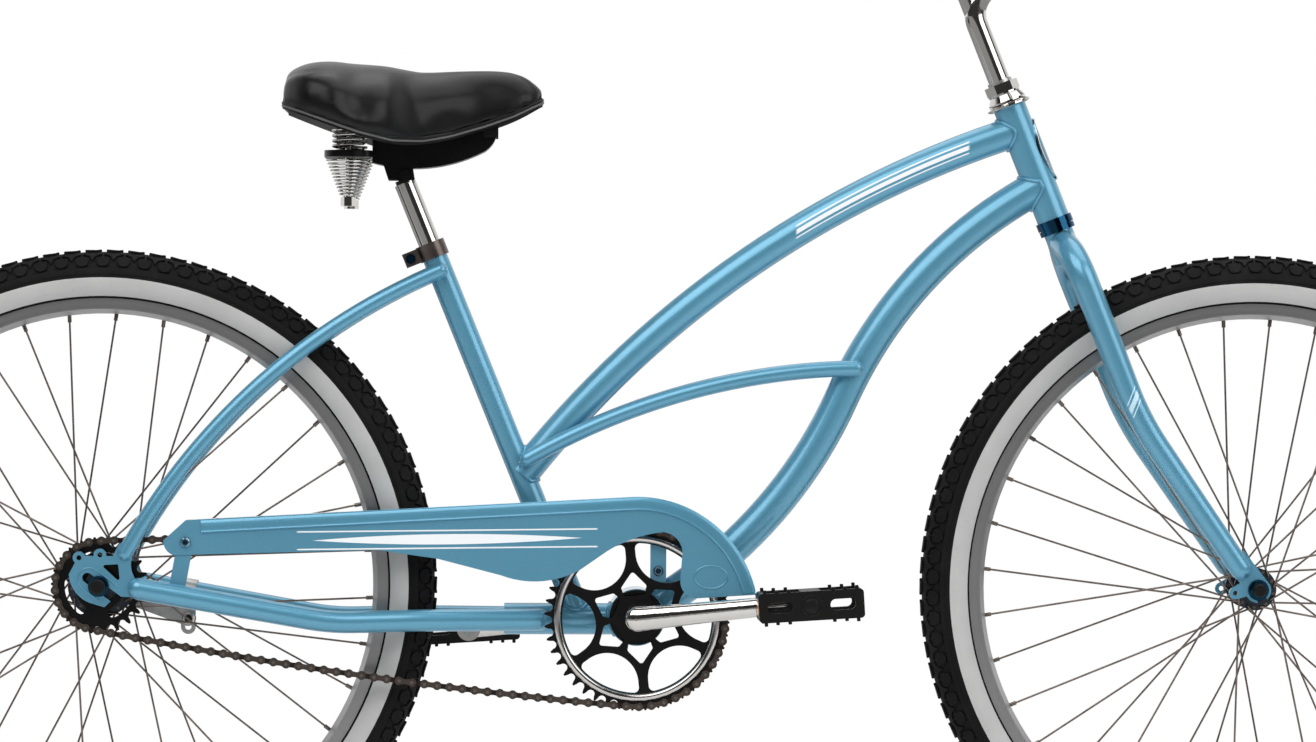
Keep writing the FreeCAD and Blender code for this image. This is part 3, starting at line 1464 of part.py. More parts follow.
def chainring(phase):
    """Toothed ring on six forked arms, with a large window between arms and a small one in each fork."""
    place_ring = Placement(bracket - Y * d.chain_line.value, Rotation(-Y, phase))
    body = toothed_disc("ChainRing", d.ring_teeth, place_ring)
    half_step = 180 / d.ring_arm_count.value
    arm_turn = d.crank_angle.value + half_step - phase
    band = d.ring_band_inner.value
    arm_half = d.ring_arm_width.value / 2
    corner = d.ring_window_corner.value
    slope = math.radians(half_step)

    def beside_arm(along, side):
        """A point on an arm's edge, seen from the window that lies beside it."""
        reach = math.hypot(along, arm_half)
        return polar(reach, arm_turn + half_step + side * (half_step - math.degrees(math.asin(arm_half / reach))))

    middle = (d.ring_window_inner.value - arm_half) / (1 - math.sin(slope))
    bow = middle - d.ring_window_inner.value
    straight = middle * math.cos(slope)
    corner_middle = band - corner
    corner_along = math.sqrt(corner_middle ** 2 - (arm_half + corner) ** 2)
    corner_turn = half_step - math.degrees(math.asin((arm_half + corner) / corner_middle))
    window = [
        polar(band, arm_turn + half_step - corner_turn) + (d.ring_band_inner,),
        polar(band, arm_turn + half_step + corner_turn) + (d.ring_window_corner,),
        beside_arm(corner_along, 1), beside_arm(straight, 1) + (bow,),
        beside_arm(straight, -1), beside_arm(corner_along, -1) + (d.ring_window_corner,)]

    def on_arm(along, across, radius):
        turn = math.degrees(math.atan2(float(across), float(along)))
        return polar(math.hypot(float(along), float(across)), arm_turn + turn) + (radius,)

    eye_corner = d.ring_eye_corner.value
    eye = rounded([
        on_arm(d.ring_eye_inner, -d.ring_eye_inner_half, eye_corner / 2),
        on_arm(d.ring_eye_middle, -d.ring_eye_half, eye_corner), on_arm(d.ring_eye_tip, 0, eye_corner),
        on_arm(d.ring_eye_middle, d.ring_eye_half, eye_corner),
        on_arm(d.ring_eye_inner, d.ring_eye_inner_half, eye_corner / 2)])
    deep = d.sprocket_thickness * 2
    large = add_pocket(body, "XZ_Plane", deep, window, middle=True)
    small = add_pocket(body, "XZ_Plane", deep, eye, middle=True)
    add_pattern(body, "Y_Axis", d.ring_arm_count, large, small)
    add_pocket(body, "XZ_Plane", deep, (d.spindle_radius, (0, 0)), middle=True)
    height = d.sprocket_thickness / 2 + d.ring_bead_height
    bead_body = new_body("RingBead", place_ring)
    add_pad(bead_body, "XZ_Plane", height, (d.ring_bead_inner, (0, 0)), (d.ring_bead_outer, (0, 0)))
    keep(fuse("ChainRingBeaded", body, bead_body), "chainring")


def rear_sprocket(phase):
    place_disc = Placement(rear_axle - Y * d.chain_line.value, Rotation(-Y, phase))
    body = toothed_disc("RearSprocket", d.rear_teeth, place_disc)
    inner = d.rear_window_inner
    outer = d.rear_window_outer
    end_radius = (outer - inner) / 2
    end_sweep = math.degrees(end_radius.value / (inner + end_radius).value)
    first = d.rear_window_turn.value - phase - d.rear_window_sweep.value / 2 + end_sweep
    last = d.rear_window_turn.value - phase + d.rear_window_sweep.value / 2 - end_sweep

    def window_end(degrees, side):
        """Tip of a window's round end, a quarter turn from where the end starts."""
        x, y = polar((inner + end_radius).value, degrees)
        ahead, above = polar(end_radius.value * side, degrees + 90)
        return x + ahead, y + above, end_radius

    window = add_pocket(body, "XZ_Plane", d.sprocket_thickness * 2, [
        polar(outer.value, first) + (outer,), polar(outer.value, last) + (end_radius,), window_end(last, 1),
        polar(inner.value, last) + (-inner,), polar(inner.value, first) + (end_radius,),
        window_end(first, -1)],
        middle=True)
    add_pattern(body, "Y_Axis", d.rear_sprocket_windows, window)
    add_pocket(body, "XZ_Plane", d.sprocket_thickness * 2, (d.driver_seat_radius, (0, 0)), middle=True)
    keep(body, "rear_sprocket")

    half = d.rear_shell_width / 2
    disc_half = d.sprocket_thickness / 2
    shoulder = d.chain_line - disc_half
    driver = [
        (-d.part_gap - 4, d.rear_axle_radius + d.running_gap), (-d.part_gap - 4, d.driver_radius),
        (-half - d.part_gap, d.driver_radius), (-half - d.part_gap, d.driver_seat_radius + 3),
        (-shoulder, d.driver_seat_radius + 3), (-shoulder, d.driver_seat_radius),
        (-d.chain_line - disc_half, d.driver_seat_radius),
        (-d.chain_line - disc_half - 2.5, d.driver_seat_radius - 2),
        (-d.chain_line - disc_half - 2.5, d.rear_axle_radius + d.running_gap)]
    keep(turned("HubDriver", driver, Placement(rear_axle, Rotation())), "hub_driver")


# Crankset and pedals

def crank_point(along, offset, side=1):
    turn = math.radians(d.crank_angle.value)
    return bracket + Vector(math.cos(turn), 0,
                            math.sin(turn)) * (side * float(along)) - Y * side * float(offset)


def crank_arm(name, side):
    """One arm of the crank: a tapering bar from the spindle's end to the pedal eye."""
    stations = ((0, d.spindle_half, d.crank_root_height, d.crank_root_depth),
                (0.35, d.spindle_half + (d.crank_eye_offset - d.spindle_half) * 0.5,
                 d.crank_root_height * 0.86,
                 d.crank_root_depth * 0.9),
                (1, d.crank_eye_offset, d.crank_tip_height, d.crank_tip_depth))
    facing = Rotation(-Y, d.crank_angle.value).multiply(Rotation(Y, 90 * side))
    sections = []
    for share, offset, height, depth in stations:
        placement = Placement(crank_point(d.crank_length * share, offset, side), facing)
        sections.append(primitive("Part::Ellipse", name + "Section", placement, MajorRadius=height,
                                  MinorRadius=depth))
    bar = doc.addObject("Part::Loft", name + "Bar")
    bar.Sections = sections
    bar.Solid = True
    root = primitive("Part::Ellipsoid", name + "Root", place(crank_point(0, d.spindle_half, side)),
                     Radius1=d.crank_root_height, Radius2=d.crank_root_height, Radius3=d.crank_root_depth)
    eye = cross_cylinder(name + "Eye", d.crank_eye_radius, d.crank_eye_width,
                         crank_point(d.crank_length, d.crank_eye_offset, side))
    return fuse(name, bar, root, eye)


def crankset():
    spindle = cross_cylinder("Spindle", d.spindle_radius, d.spindle_half * 2, bracket)
    whole = fuse("CrankWhole", spindle, crank_arm("RightArm", 1), crank_arm("LeftArm", -1))
    axles = []
    for side in (1, -1):
        start = crank_point(d.crank_length, d.crank_eye_offset - d.crank_eye_width / 2, side)
        length = d.crank_eye_width + d.pedal_gap + d.pedal_width
        axles.append(cylinder("PedalAxle", d.pedal_axle_radius, length, start, Y * -side))
    keep(cut("Crank", whole, *axles), "crank")
    keep(group("PedalAxles", *axles), "pedal_axles")

    half = d.shell_width / 2
    lip = half + d.bracket_cup_flange
    race = d.bracket_ball_circle + d.bracket_ball_radius + d.running_gap
    floor = half - d.bracket_ball_radius * 3
    cups = []
    for side in (-1, 1):
        cups.append(turned("BracketCup", [
            (floor * side, d.cone_radius), (floor * side, d.shell_bore / 2), (half * side, d.shell_bore / 2),
            (half * side, d.bracket_cup_flange_radius), (lip * side, d.bracket_cup_flange_radius),
            (lip * side, race), ((floor + 2) * side, race), ((floor + 2) * side, d.cone_radius)],
            Placement(bracket, Rotation())))
    keep(group("BracketCups", *cups), "bottom_bracket_cups")

    cone_outer = d.bracket_ball_circle - d.bracket_ball_radius - d.running_gap
    cone_start = half - d.cone_width
    ring_face = d.chain_line - d.sprocket_thickness / 2
    right_cone = turned("RightCone", [
        (-cone_start, d.spindle_radius), (-cone_start, d.cone_radius - 1), (-half, cone_outer),
        (-ring_face, cone_outer), (-ring_face, d.spindle_radius)], Placement(bracket, Rotation()))
    left_cone = turned("LeftCone", [
        (cone_start, d.spindle_radius), (cone_start, d.cone_radius - 1), (half, cone_outer),
        (lip + 2, cone_outer), (lip + 2, d.spindle_radius)], Placement(bracket, Rotation()))
    nut_start = lip + 2
    nut = cut("CrankNut", hexagon("CrankNutHexagon", d.crank_nut_flats, d.crank_nut_width,
                                  bracket + Y * nut_start.value, Y), spindle)
    keep(group("CrankCones", right_cone, left_cone, nut), "crank_cones")
    centre = floor.value + 2 + d.bracket_ball_radius.value + d.part_gap.value
    return [ball_cage(d.bracket_ball_radius, d.bracket_ball_circle, d.bracket_ball_count,
                      bracket + Y * side * centre, Y)
            for side in (-1, 1)]


def pedal(name, node, side):
    """Moulded pedal: open frame, barrel round the axle and two oblong slots in each end."""
    middle = d.crank_eye_offset + d.crank_eye_width / 2 + d.pedal_gap + d.pedal_width / 2
    centre = crank_point(d.crank_length, middle, side)
    body = new_body(name, Placement(centre, Rotation(-Y, d.pedal_tilt.value)))
    half_length = d.pedal_length / 2
    half_height = d.pedal_height / 2
    r = d.pedal_corner
    add_pad(body, "XZ_Plane", d.pedal_width, [
        (-half_length + r, -half_height), (half_length - r, -half_height, r), (half_length, -half_height + r),
        (half_length, half_height - r, r), (half_length - r, half_height), (-half_length + r, half_height, r),
        (-half_length, half_height - r), (-half_length, -half_height + r, r)], middle=True)
    inner = d.pedal_barrel_radius
    outer = half_length - d.pedal_frame
    reach = d.pedal_width / 2 - d.pedal_frame
    windows = [[(sign * inner, -reach), (sign * outer, -reach), (sign * outer, reach), (sign * inner, reach)]
               for sign in (1, -1)]
    add_pocket(body, "XY_Plane", d.pedal_height * 2, *windows, middle=True)
    slots = []
    for sign in (1, -1):
        left = d.pedal_slot_centre * sign - d.pedal_slot_length / 2 + d.pedal_slot_height / 2
        right = d.pedal_slot_centre * sign + d.pedal_slot_length / 2 - d.pedal_slot_height / 2
        half = d.pedal_slot_height / 2
        slots.append([(left, -half), (right, -half, half), (right + half, 0, half), (right, half),
                      (left, half, half), (left - half, 0, half)])
    add_pocket(body, "XZ_Plane", d.pedal_width * 2, *slots, middle=True)
    add_pocket(body, "XZ_Plane", d.pedal_width * 2, (d.pedal_axle_radius + d.running_gap, (0, 0)),
               middle=True)
    keep(body, node)


# Chain guard and coaster brake arm

def guard_face():
    """Distance of the guard's outer face from the middle plane."""
    return d.chain_line + d.link_inner_width / 2 + d.link_plate_thickness * 2 + d.guard_gap + d.guard_sheet


def guard_screw_places():
    """Middle of the rear and of the front screw, from the bottom bracket."""
    rear = (d.guard_screw_ahead - d.chain_stay_reach, d.guard_screw_rise + d.bottom_bracket_drop)
    return rear, (d.guard_front_ahead, d.guard_front_rise)


def guard_top(drop, nose_share):
    """Corners along the guard's top edge, lowered by a drop, from its leg back towards its nose."""
    radius = d.guard_radius - drop
    leg_rise = d.guard_leg_rise
    leg_ahead = math.sqrt(radius.value ** 2 - leg_rise.value ** 2)
    behind = -d.chain_stay_reach
    above = d.bottom_bracket_drop
    tail = (d.guard_rear_top_ahead + behind, d.guard_rear_top_rise + above - drop)
    nose = (d.guard_nose_ahead + behind + drop, d.guard_nose_rise + above)
    end = tuple(a + (b - a) * nose_share for a, b in zip(tail, nose))
    return [(leg_ahead, leg_rise, radius), polar(radius, 92), tail, end]


def chain_guard(down_bar, chain_bar):
    face = guard_face()
    body = new_body("ChainGuard", Placement(bracket - Y * face.value, Rotation()))
    tail_low = d.guard_rear_top_rise - d.guard_tail_width + d.bottom_bracket_drop
    lower = [
        (d.guard_nose_ahead - d.chain_stay_reach + d.guard_tail_cut, tail_low), (-260, 67.5), (-200, 59),
        (-136, 42.5, 94), (-57, 48.6), (-29.7, 67.6, -135), (26, 86.5, -21.5), (44.5, 60), (43, 38, 16.8),
        (60, 20.3)]
    upper = guard_top(0, 1)
    upper[-1] += (d.guard_tail_radius,)
    add_pad(body, "XZ_Plane", d.guard_sheet, upper + lower, reverse=True)
    outer = guard_top(0, d.guard_flange_share)
    leg, crown, tail, end = guard_top(d.guard_sheet, d.guard_flange_share)
    inner = [end, tail, crown + (-leg[2],), leg[:2]]
    add_pad(body, "XZ_Plane", d.guard_depth, outer + inner, reverse=True)
    rear_screw, front_screw = guard_screw_places()
    add_pocket(body, "XZ_Plane", d.guard_sheet * 4, (d.guard_screw_radius, rear_screw), middle=True)
    keep(body, "chain_guard")

    inside = face - d.guard_sheet
    strut_face = inside - d.strut_thickness
    lean = Rotation(Y, d.strut_lean.value)
    strut_corner = lean.multVec(Vector(-d.strut_width.value / 2, 0,
                                       (d.strut_width / 2 - d.strut_length).value))
    strut_box = box("StrutBox", d.strut_width, d.strut_thickness, d.strut_length,
                    from_bracket(rear_screw[0], -inside, rear_screw[1]) + strut_corner, lean)
    rear_start = from_bracket(rear_screw[0], -face - d.guard_screw_head, rear_screw[1])
    rear_drill = cylinder("StrutDrill", d.guard_screw_radius, face, rear_start, Y)
    strut = cut("GuardStrut", strut_box, chain_bar, rear_drill)

    tab_outer = face - d.guard_depth + d.strut_thickness + 0.2
    tab_inner = tab_outer - d.strut_thickness
    tab_low = front_screw[1] - d.strut_width * 0.7
    tab_top = d.guard_radius - d.guard_sheet
    tab_reach = math.sqrt(tab_top.value ** 2 - (front_screw[0] + d.strut_width / 2).value ** 2)
    tab_box = box("TabBox", d.strut_width, d.strut_thickness, tab_reach - tab_low,
                  from_bracket(front_screw[0] - d.strut_width / 2, -tab_outer, tab_low))
    lug_bar = cylinder("LugBar", d.guard_lug_radius, tab_inner,
                       from_bracket(front_screw[0], -tab_inner, front_screw[1]), Y)
    web = box("LugWeb", d.guard_lug_radius * 2, d.guard_lug_radius, front_screw[1],
              from_bracket(front_screw[0] - d.guard_lug_radius, -d.guard_lug_radius / 2, 0))
    screw_start = from_bracket(front_screw[0], -tab_outer - d.guard_screw_radius, front_screw[1])
    screw_length = d.guard_screw_radius + d.strut_thickness + d.guard_screw_length
    front_drill = cylinder("TabDrill", d.guard_screw_radius, screw_length, screw_start, Y)
    shell = cross_cylinder("LugShellMass", d.shell_diameter / 2, d.shell_width, bracket)
    lug = cut("GuardLug", fuse("LugWhole", lug_bar, web), down_bar, shell, front_drill)
    tab = cut("GuardTab", tab_box, front_drill)
    keep(group("GuardBrackets", strut, tab, lug), "chain_guard_brackets")

    front = fuse("FrontGuardScrew", front_drill,
                 cylinder("FrontScrewHead", d.guard_screw_head, d.guard_screw_radius, screw_start, Y))
    rear_shank = cylinder("RearScrewShank", d.guard_screw_radius,
                          face - strut_face + d.guard_screw_radius * 2,
                          from_bracket(rear_screw[0], -face - d.guard_screw_radius, rear_screw[1]), Y)
    rear_head = cylinder("RearScrewHead", d.guard_screw_head, d.guard_screw_radius,
                         from_bracket(rear_screw[0], -face - d.guard_screw_radius, rear_screw[1]), Y)
    return [front, fuse("RearGuardScrew", rear_shank, rear_head)]


def brake_arm_face():
    """Distance of the brake arm's inner face from the middle plane."""
    return d.rear_hub_width / 2 - d.lock_nut_width - d.brake_arm_thickness


def brake_arm():
    """Reaction arm of the coaster brake, with the clip that ties it to the left chain stay."""
    body = new_body("BrakeArm", Placement(rear_axle + Y * brake_arm_face().value, Rotation()))
    end = (d.brake_arm_reach, -d.brake_arm_drop)
    thickness = d.brake_arm_thickness
    length = math.hypot(float(end[0]), float(end[1]))
    side = (float(-end[1]) / length, float(end[0]) / length)
    hub = d.brake_arm_hub_radius * 0.9
    tip = d.brake_arm_end_radius
    add_pad(body, "XZ_Plane", thickness, (d.brake_arm_hub_radius, (0, 0)), reverse=True)
    add_pad(body, "XZ_Plane", thickness, (tip, end), reverse=True)
    add_pad(body, "XZ_Plane", thickness, [
        (hub * -side[0], hub * -side[1]), (end[0] - tip * side[0], end[1] - tip * side[1]),
        (end[0] + tip * side[0], end[1] + tip * side[1]), (hub * side[0], hub * side[1])], reverse=True)
    add_pocket(body, "XZ_Plane", thickness * 4, (d.rear_axle_radius, (0, 0)), (d.brake_bolt_radius, end),
               middle=True)
    keep(body, "brake_arm")

    arm_outer = brake_arm_face() + thickness
    stay_low = from_bracket(-d.chain_stay_low, d.chain_stay_low_offset, -d.chain_stay_low_drop)
    stay_end = from_rear_axle(d.chain_stay_end_ahead, d.chain_stay_end_offset, -d.chain_stay_end_drop)
    share = (stay_end.x - rear_axle.x - d.brake_arm_reach.value) / (stay_end.x - stay_low.x)
    run = (stay_end - stay_low).normalize()
    band_centre = stay_end + (stay_low - stay_end) * share
    half = d.brake_clip_width / 2
    band = cylinder("ClipBand", d.chain_stay_diameter / 2 + d.brake_clip_thickness, d.brake_clip_width,
                    band_centre - run * half.value, run)
    tab = new_body("ClipTab", Placement(from_rear_axle(d.brake_arm_reach, arm_outer, -d.brake_arm_drop),
                                        Rotation()))
    low = -d.brake_slot_drop
    add_pad(tab, "XZ_Plane", d.brake_clip_thickness, [
        (half, low), (half, d.brake_clip_rise), (-half, d.brake_clip_rise), (-half, low, half),
        (0, low - half, half)], reverse=True)
    slot = d.brake_bolt_radius + d.brake_slot_gap
    add_pocket(tab, "XZ_Plane", d.brake_clip_thickness * 4, [
        (slot, low), (slot, 0, slot), (0, slot, slot), (-slot, 0), (-slot, low, slot), (0, low - slot, slot)],
        middle=True)
    bolt_start = from_rear_axle(d.brake_arm_reach, arm_outer - thickness - d.brake_bolt_radius,
                                -d.brake_arm_drop)
    bolt_length = thickness + d.brake_clip_thickness + d.brake_bolt_radius * 3
    shank = cylinder("ClipBoltShank", d.brake_bolt_radius, bolt_length, bolt_start, Y)
    stay_core = cylinder("ClipStayCore", d.chain_stay_diameter / 2, d.brake_clip_width * 4,
                         band_centre - run * (half.value * 4), run)
    keep(cut("BrakeArmClip", fuse("ClipWhole", band, tab), stay_core, shank), "brake_arm_clip")
    head = hexagon("ClipBoltHead", d.brake_bolt_radius * 3.3, d.brake_bolt_radius, bolt_start, Y)
    nut_start = from_rear_axle(d.brake_arm_reach, arm_outer + d.brake_clip_thickness, -d.brake_arm_drop)
    nut = hexagon("ClipBoltNut", d.brake_bolt_radius * 3.3, d.brake_bolt_radius, nut_start, Y)
    return fuse("ClipBolt", shank, head, nut)


# Stem, handlebar and grips

def bar_centre():
    corner = on_head(0, 0, d.stem_corner_rise)
    turn = math.radians(d.stem_neck_angle.value)
    return corner + Vector(math.cos(turn), 0, math.sin(turn)) * d.stem_neck_length.value


def stem():
    corner = on_head(0, 0, d.stem_corner_rise)
    clamp = bar_centre()
    line = rounded_route([on_head(0, 0, d.stem_insertion), corner, clamp], [d.stem_bend_radius.value])
    neck = sweep("Stem", line, d.seat_post_diameter)
    barrel = cross_cylinder("StemBarrel", d.stem_clamp_radius, d.stem_clamp_width, clamp)
    boss_height = d.stem_boss_rise - d.stem_corner_rise + d.seat_post_diameter
    boss = cylinder("StemBoss", d.stem_boss_radius, boss_height,
                    on_head(0, 0, d.stem_boss_rise - boss_height), steer_up)
    bar_hole = cross_cylinder("StemBarHole", d.bar_sleeve_diameter / 2 + d.running_gap,
                              d.stem_clamp_width * 2, clamp)
    neck_turn = Rotation(Y, -d.stem_neck_angle.value)
    slit_corner = clamp + neck_turn.multVec(Vector(0, -d.stem_clamp_width.value, -d.stem_slit.value / 2))
    slit = box("StemSlit", d.stem_clamp_radius * 2, d.stem_clamp_width * 2, d.stem_slit, slit_corner,
               neck_turn)
    bolt_low = d.stem_insertion - d.wedge_length
    bolt_hole = cylinder("StemBoltHole", d.stem_bolt_radius + d.running_gap, d.stem_boss_rise,
                         on_head(0, 0, bolt_low), steer_up)
    keep(cut("StemBody", fuse("StemWhole", neck, barrel, boss), bar_hole, slit, bolt_hole), "stem")

    rod = cylinder("StemBoltRod", d.stem_bolt_radius, d.stem_boss_rise - bolt_low, on_head(0, 0, bolt_low),
                   steer_up)
    head = hexagon("StemBoltHead", d.stem_bolt_head_flats, d.stem_bolt_head_height,
                   on_head(0, 0, d.stem_boss_rise), steer_up)
    wedge_bar = cylinder("WedgeBar", d.seat_post_diameter / 2, d.wedge_length - d.part_gap,
                         on_head(0, 0, bolt_low), steer_up)
    wedge = cut("Wedge", wedge_bar, rod)
    keep(group("StemExpander", fuse("StemBolt", rod, head), wedge), "stem_expander")


def handlebar():
    centre = bar_centre()
    half = [
        Vector(0, d.bar_flat_half.value, 0), Vector(8, d.bar_rise_half.value, d.bar_rise.value),
        Vector(d.bar_shoulder_lead.value, d.bar_shoulder_half.value, d.bar_shoulder_rise.value),
        Vector(-d.bar_end_back.value, d.bar_end_half.value, d.bar_end_rise.value)]
    right = [centre + Vector(p.x, -p.y, p.z) for p in reversed(half)]
    left = [centre + p for p in half]
    line = rounded_route(right + left, [d.bar_bend_radius.value] * (len(half) * 2 - 2))
    bar, hollow = tube("Handlebar", line, d.bar_diameter, d.bar_wall)
    sleeve = cross_cylinder("BarSleeve", d.bar_sleeve_diameter / 2, d.bar_sleeve_width, centre)
    sleeve_ring = cut("BarSleeveRing", sleeve, bar)
    keep(fuse("HandlebarWhole", hollow, sleeve_ring), "handlebar")

    end = left[-1]
    run = (left[-1] - left[-2]).normalize()
    start = end - run * (d.grip_length.value - d.grip_end_wall.value)
    barrel = cylinder("GripBarrel", d.grip_diameter / 2, d.grip_length, start, run)
    flange = cylinder("GripFlange", d.grip_flange_diameter / 2, d.grip_flange_width, start, run)
    grip = cut("GripLeft", fuse("GripWhole", barrel, flange), bar)
    grip_bore = cylinder("GripBore", d.bar_diameter / 2 - d.bar_wall, d.grip_length - d.grip_end_wall, start,
                         run)
    hollow_grip = cut("GripHollow", grip, grip_bore)
    keep(group("Grips", hollow_grip, mirrored(hollow_grip)), "grips")


# Seat post, collar and saddle

def seat_post():
    radius = d.seat_post_diameter / 2
    start = d.seat_post_top - d.seat_post_length
    bar = cylinder("SeatPostBar", radius, d.seat_post_length, on_seat(start), seat_up)
    bore_radius = radius - d.seat_post_wall
    bore = cylinder("SeatPostBore", bore_radius, d.seat_post_length, on_seat(start), seat_up)
    keep(cut("SeatPost", bar, bore), "seat_post")

    barrel_centre = on_saddle(0, 0, d.clamp_barrel_rise)
    barrel = cross_cylinder("ClampBarrel", d.clamp_barrel_radius, d.clamp_barrel_width, barrel_centre)
    plug = cylinder("ClampPlug", bore_radius - d.running_gap, d.clamp_plug_length + d.clamp_neck,
                    on_seat(d.seat_post_top - d.clamp_plug_length), seat_up)
    bolt = cross_cylinder("ClampBolt", d.clamp_bolt_radius, d.clamp_bolt_length, barrel_centre)
    pieces = [cut("SaddleClampBody", fuse("ClampWhole", barrel, plug), bolt)]
    ends = []
    for side in (-1, 1):
        face = d.clamp_bolt_length / 2 - d.clamp_nut_height
        ends.append(hexagon("ClampNut", d.clamp_nut_flats, d.clamp_nut_height,
                            barrel_centre + Y * side * face.value, Y * side))
    pieces.append(fuse("ClampBoltAndNuts", bolt, *ends))
    keep(group("SaddleClamp", *pieces), "saddle_clamp")


def seat_collar():
    tube_radius = d.seat_tube_diameter / 2
    outer = tube_radius + d.collar_wall
    low = d.seat_tube_length - d.collar_height + d.collar_lip
    band = cylinder("CollarBand", outer, d.collar_height, on_seat(low), seat_up)
    ear_corner = on_seat(low + d.collar_height * 0.05) + seat_frame.Rotation.multVec(
        Vector(-(outer + d.collar_ear_length).value, -d.collar_ear_width.value / 2, 0))
    ear = box("CollarEar", outer + d.collar_ear_length, d.collar_ear_width, d.collar_height * 0.9, ear_corner,
              seat_frame.Rotation)
    slit_corner = on_seat(low - d.collar_height) + seat_frame.Rotation.multVec(
        Vector(-(outer + d.collar_ear_length).value * 2, -d.collar_slit.value / 2, 0))
    slit = box("CollarSlit", (outer + d.collar_ear_length) * 2, d.collar_slit, d.collar_height * 3,
               slit_corner,
               seat_frame.Rotation)
    hole = cylinder("CollarHole", tube_radius, d.collar_height * 3, on_seat(low - d.collar_height), seat_up)
    bolt_centre = on_seat(low + d.collar_height / 2) + seat_frame.Rotation.multVec(
        Vector(-(outer + d.collar_ear_length * 0.55).value, 0, 0))
    bolt = cross_cylinder("CollarBolt", d.collar_bolt_radius, d.collar_ear_width + 8, bolt_centre)
    keep(cut("SeatCollar", fuse("CollarWhole", band, ear), hole, slit, bolt), "seat_clamp")
    head = cylinder("CollarBoltHead", d.collar_bolt_radius * 1.7, d.collar_bolt_radius,
                    bolt_centre - Y * (d.collar_ear_width.value / 2), -Y)
    nut = hexagon("CollarNut", d.collar_bolt_radius * 3.3, d.collar_bolt_radius,
                  bolt_centre + Y * (d.collar_ear_width.value / 2), Y)
    return fuse("CollarBoltWhole", bolt, head, nut)


# Half width, hem height and crown height of the saddle along its length, nose first
SADDLE_STATIONS = (
    (138, 10, 82, 95),
    (128, 23, 77, 107),
    (108, 32, 67, 115.5),
    (80, 37, 57, 117.5),
    (45, 47, 46.5, 116),
    (18, 66, 41, 115),
    (-12, 95, 40.5, 119.5),
    (-45, 115, 48, 123),
    (-80, 119, 60, 123),
    (-106, 104, 69.5, 119),
    (-121, 82, 75, 110),
)


def saddle_section(ahead, half, hem, crown):
    """One cross-section of the padded top: crowned above, drawn in at the hem, hollow below."""
    height = crown - hem
    recess = min(d.saddle_recess.value, height * 0.4)
    shoulder = Vector(ahead, half * 0.78, hem + height * 0.74)
    hem_edge = Vector(ahead, half * 0.94, hem)
    inner = Vector(ahead, half * 0.62, hem + recess)

    def left(point):
        return Vector(point.x, -point.y, point.z)

    bulge = Vector(ahead, half, hem + height * 0.32)
    edges = [
        Part.Arc(hem_edge, bulge, shoulder).toShape(),
        Part.Arc(shoulder, Vector(ahead, 0, crown), left(shoulder)).toShape(),
        Part.Arc(left(shoulder), left(bulge), left(hem_edge)).toShape(),
        Part.LineSegment(left(hem_edge), left(inner)).toShape(),
        Part.LineSegment(left(inner), inner).toShape(),
        Part.LineSegment(inner, hem_edge).toShape(),
    ]
    return Part.Wire(edges)


def base_section(ahead, half, hem, crown):
    """The pressed plate under the padding, a thin strip that follows its hollow."""
    recess = min(d.saddle_recess.value, (crown - hem) * 0.4)
    gap = d.saddle_base_gap.value
    thick = d.saddle_base_thickness.value
    outer = half * 0.92
    inner = half * 0.6
    corners = [
        (outer, hem - gap), (inner, hem + recess - gap), (-inner, hem + recess - gap), (-outer, hem - gap),
        (-outer, hem - gap - thick), (-inner, hem + recess - gap - thick),
        (inner, hem + recess - gap - thick),
        (outer, hem - gap - thick)]
    points = [Vector(ahead, y, z) for y, z in corners]
    return Part.makePolygon(points + points[:1])


def lofted(name, section):
    """A loft through the saddle's stations."""
    wires = []
    for index, station in enumerate(SADDLE_STATIONS):
        wires.append(coded("%sSection%d" % (name, index), section(*station)))
    result = doc.addObject("Part::Loft", name)
    result.Sections = wires
    result.Solid = True
    return result


def biarc(start, start_run, end, end_run):
    """Two arcs, tangent to each other, from one point and direction to another."""
    chord = end - start
    both = start_run + end_run
    lead = 2 * (1 - start_run.dot(end_run))
    along = chord.dot(both)
    reach = (math.sqrt(along * along + lead * chord.dot(chord)) - along) / lead
    first = start + start_run * reach
    last = end - end_run * reach
    joint = (first + last) / 2
    edges = []
    for begin, control, finish in ((start, first, joint), (joint, last, end)):
        back = (begin - control).normalize()
        onward = (finish - control).normalize()
        half = back.getAngle(onward) / 2
        radius = (begin - control).Length * math.tan(half)
        towards_centre = (back + onward).normalize()
        middle = control + towards_centre * (radius / math.sin(half) - radius)
        edges.append(Part.Arc(begin, middle, finish).toShape())
    return edges


def coil(name, centre, start_radius, end_radius, rise, turns, wire):
    """A round-wire spring as one tube, built from two arcs for every quarter turn."""
    quarters = int(turns * 4)

    def point(quarter):
        share = quarter / quarters
        turn = quarter * math.pi / 2
        radius = start_radius + (end_radius - start_radius) * share
        return Vector(radius * math.cos(turn), radius * math.sin(turn), rise * share)

    def run(quarter):
        step = 1e-4
        return (point(quarter + step) - point(quarter - step)).normalize()

    edges = []
    for quarter in range(quarters):
        edges += biarc(point(quarter), run(quarter), point(quarter + 1), run(quarter + 1))
    profile = Part.Wire(Part.Circle(point(0), run(0), wire / 2).toShape())
    solid = Part.Wire(edges).makePipeShell([profile], True, False)
    samples = [point(index / 8) for index in range(quarters * 8 + 1)]
    nearest = min((samples[i] - samples[j]).Length for i in range(len(samples))
                  for j in range(i + 16, len(samples)))
    print("%s: least gap between its turns %.2f mm" % (name, nearest - wire))
    solid.Placement = Placement(centre, Rotation())
    return solid


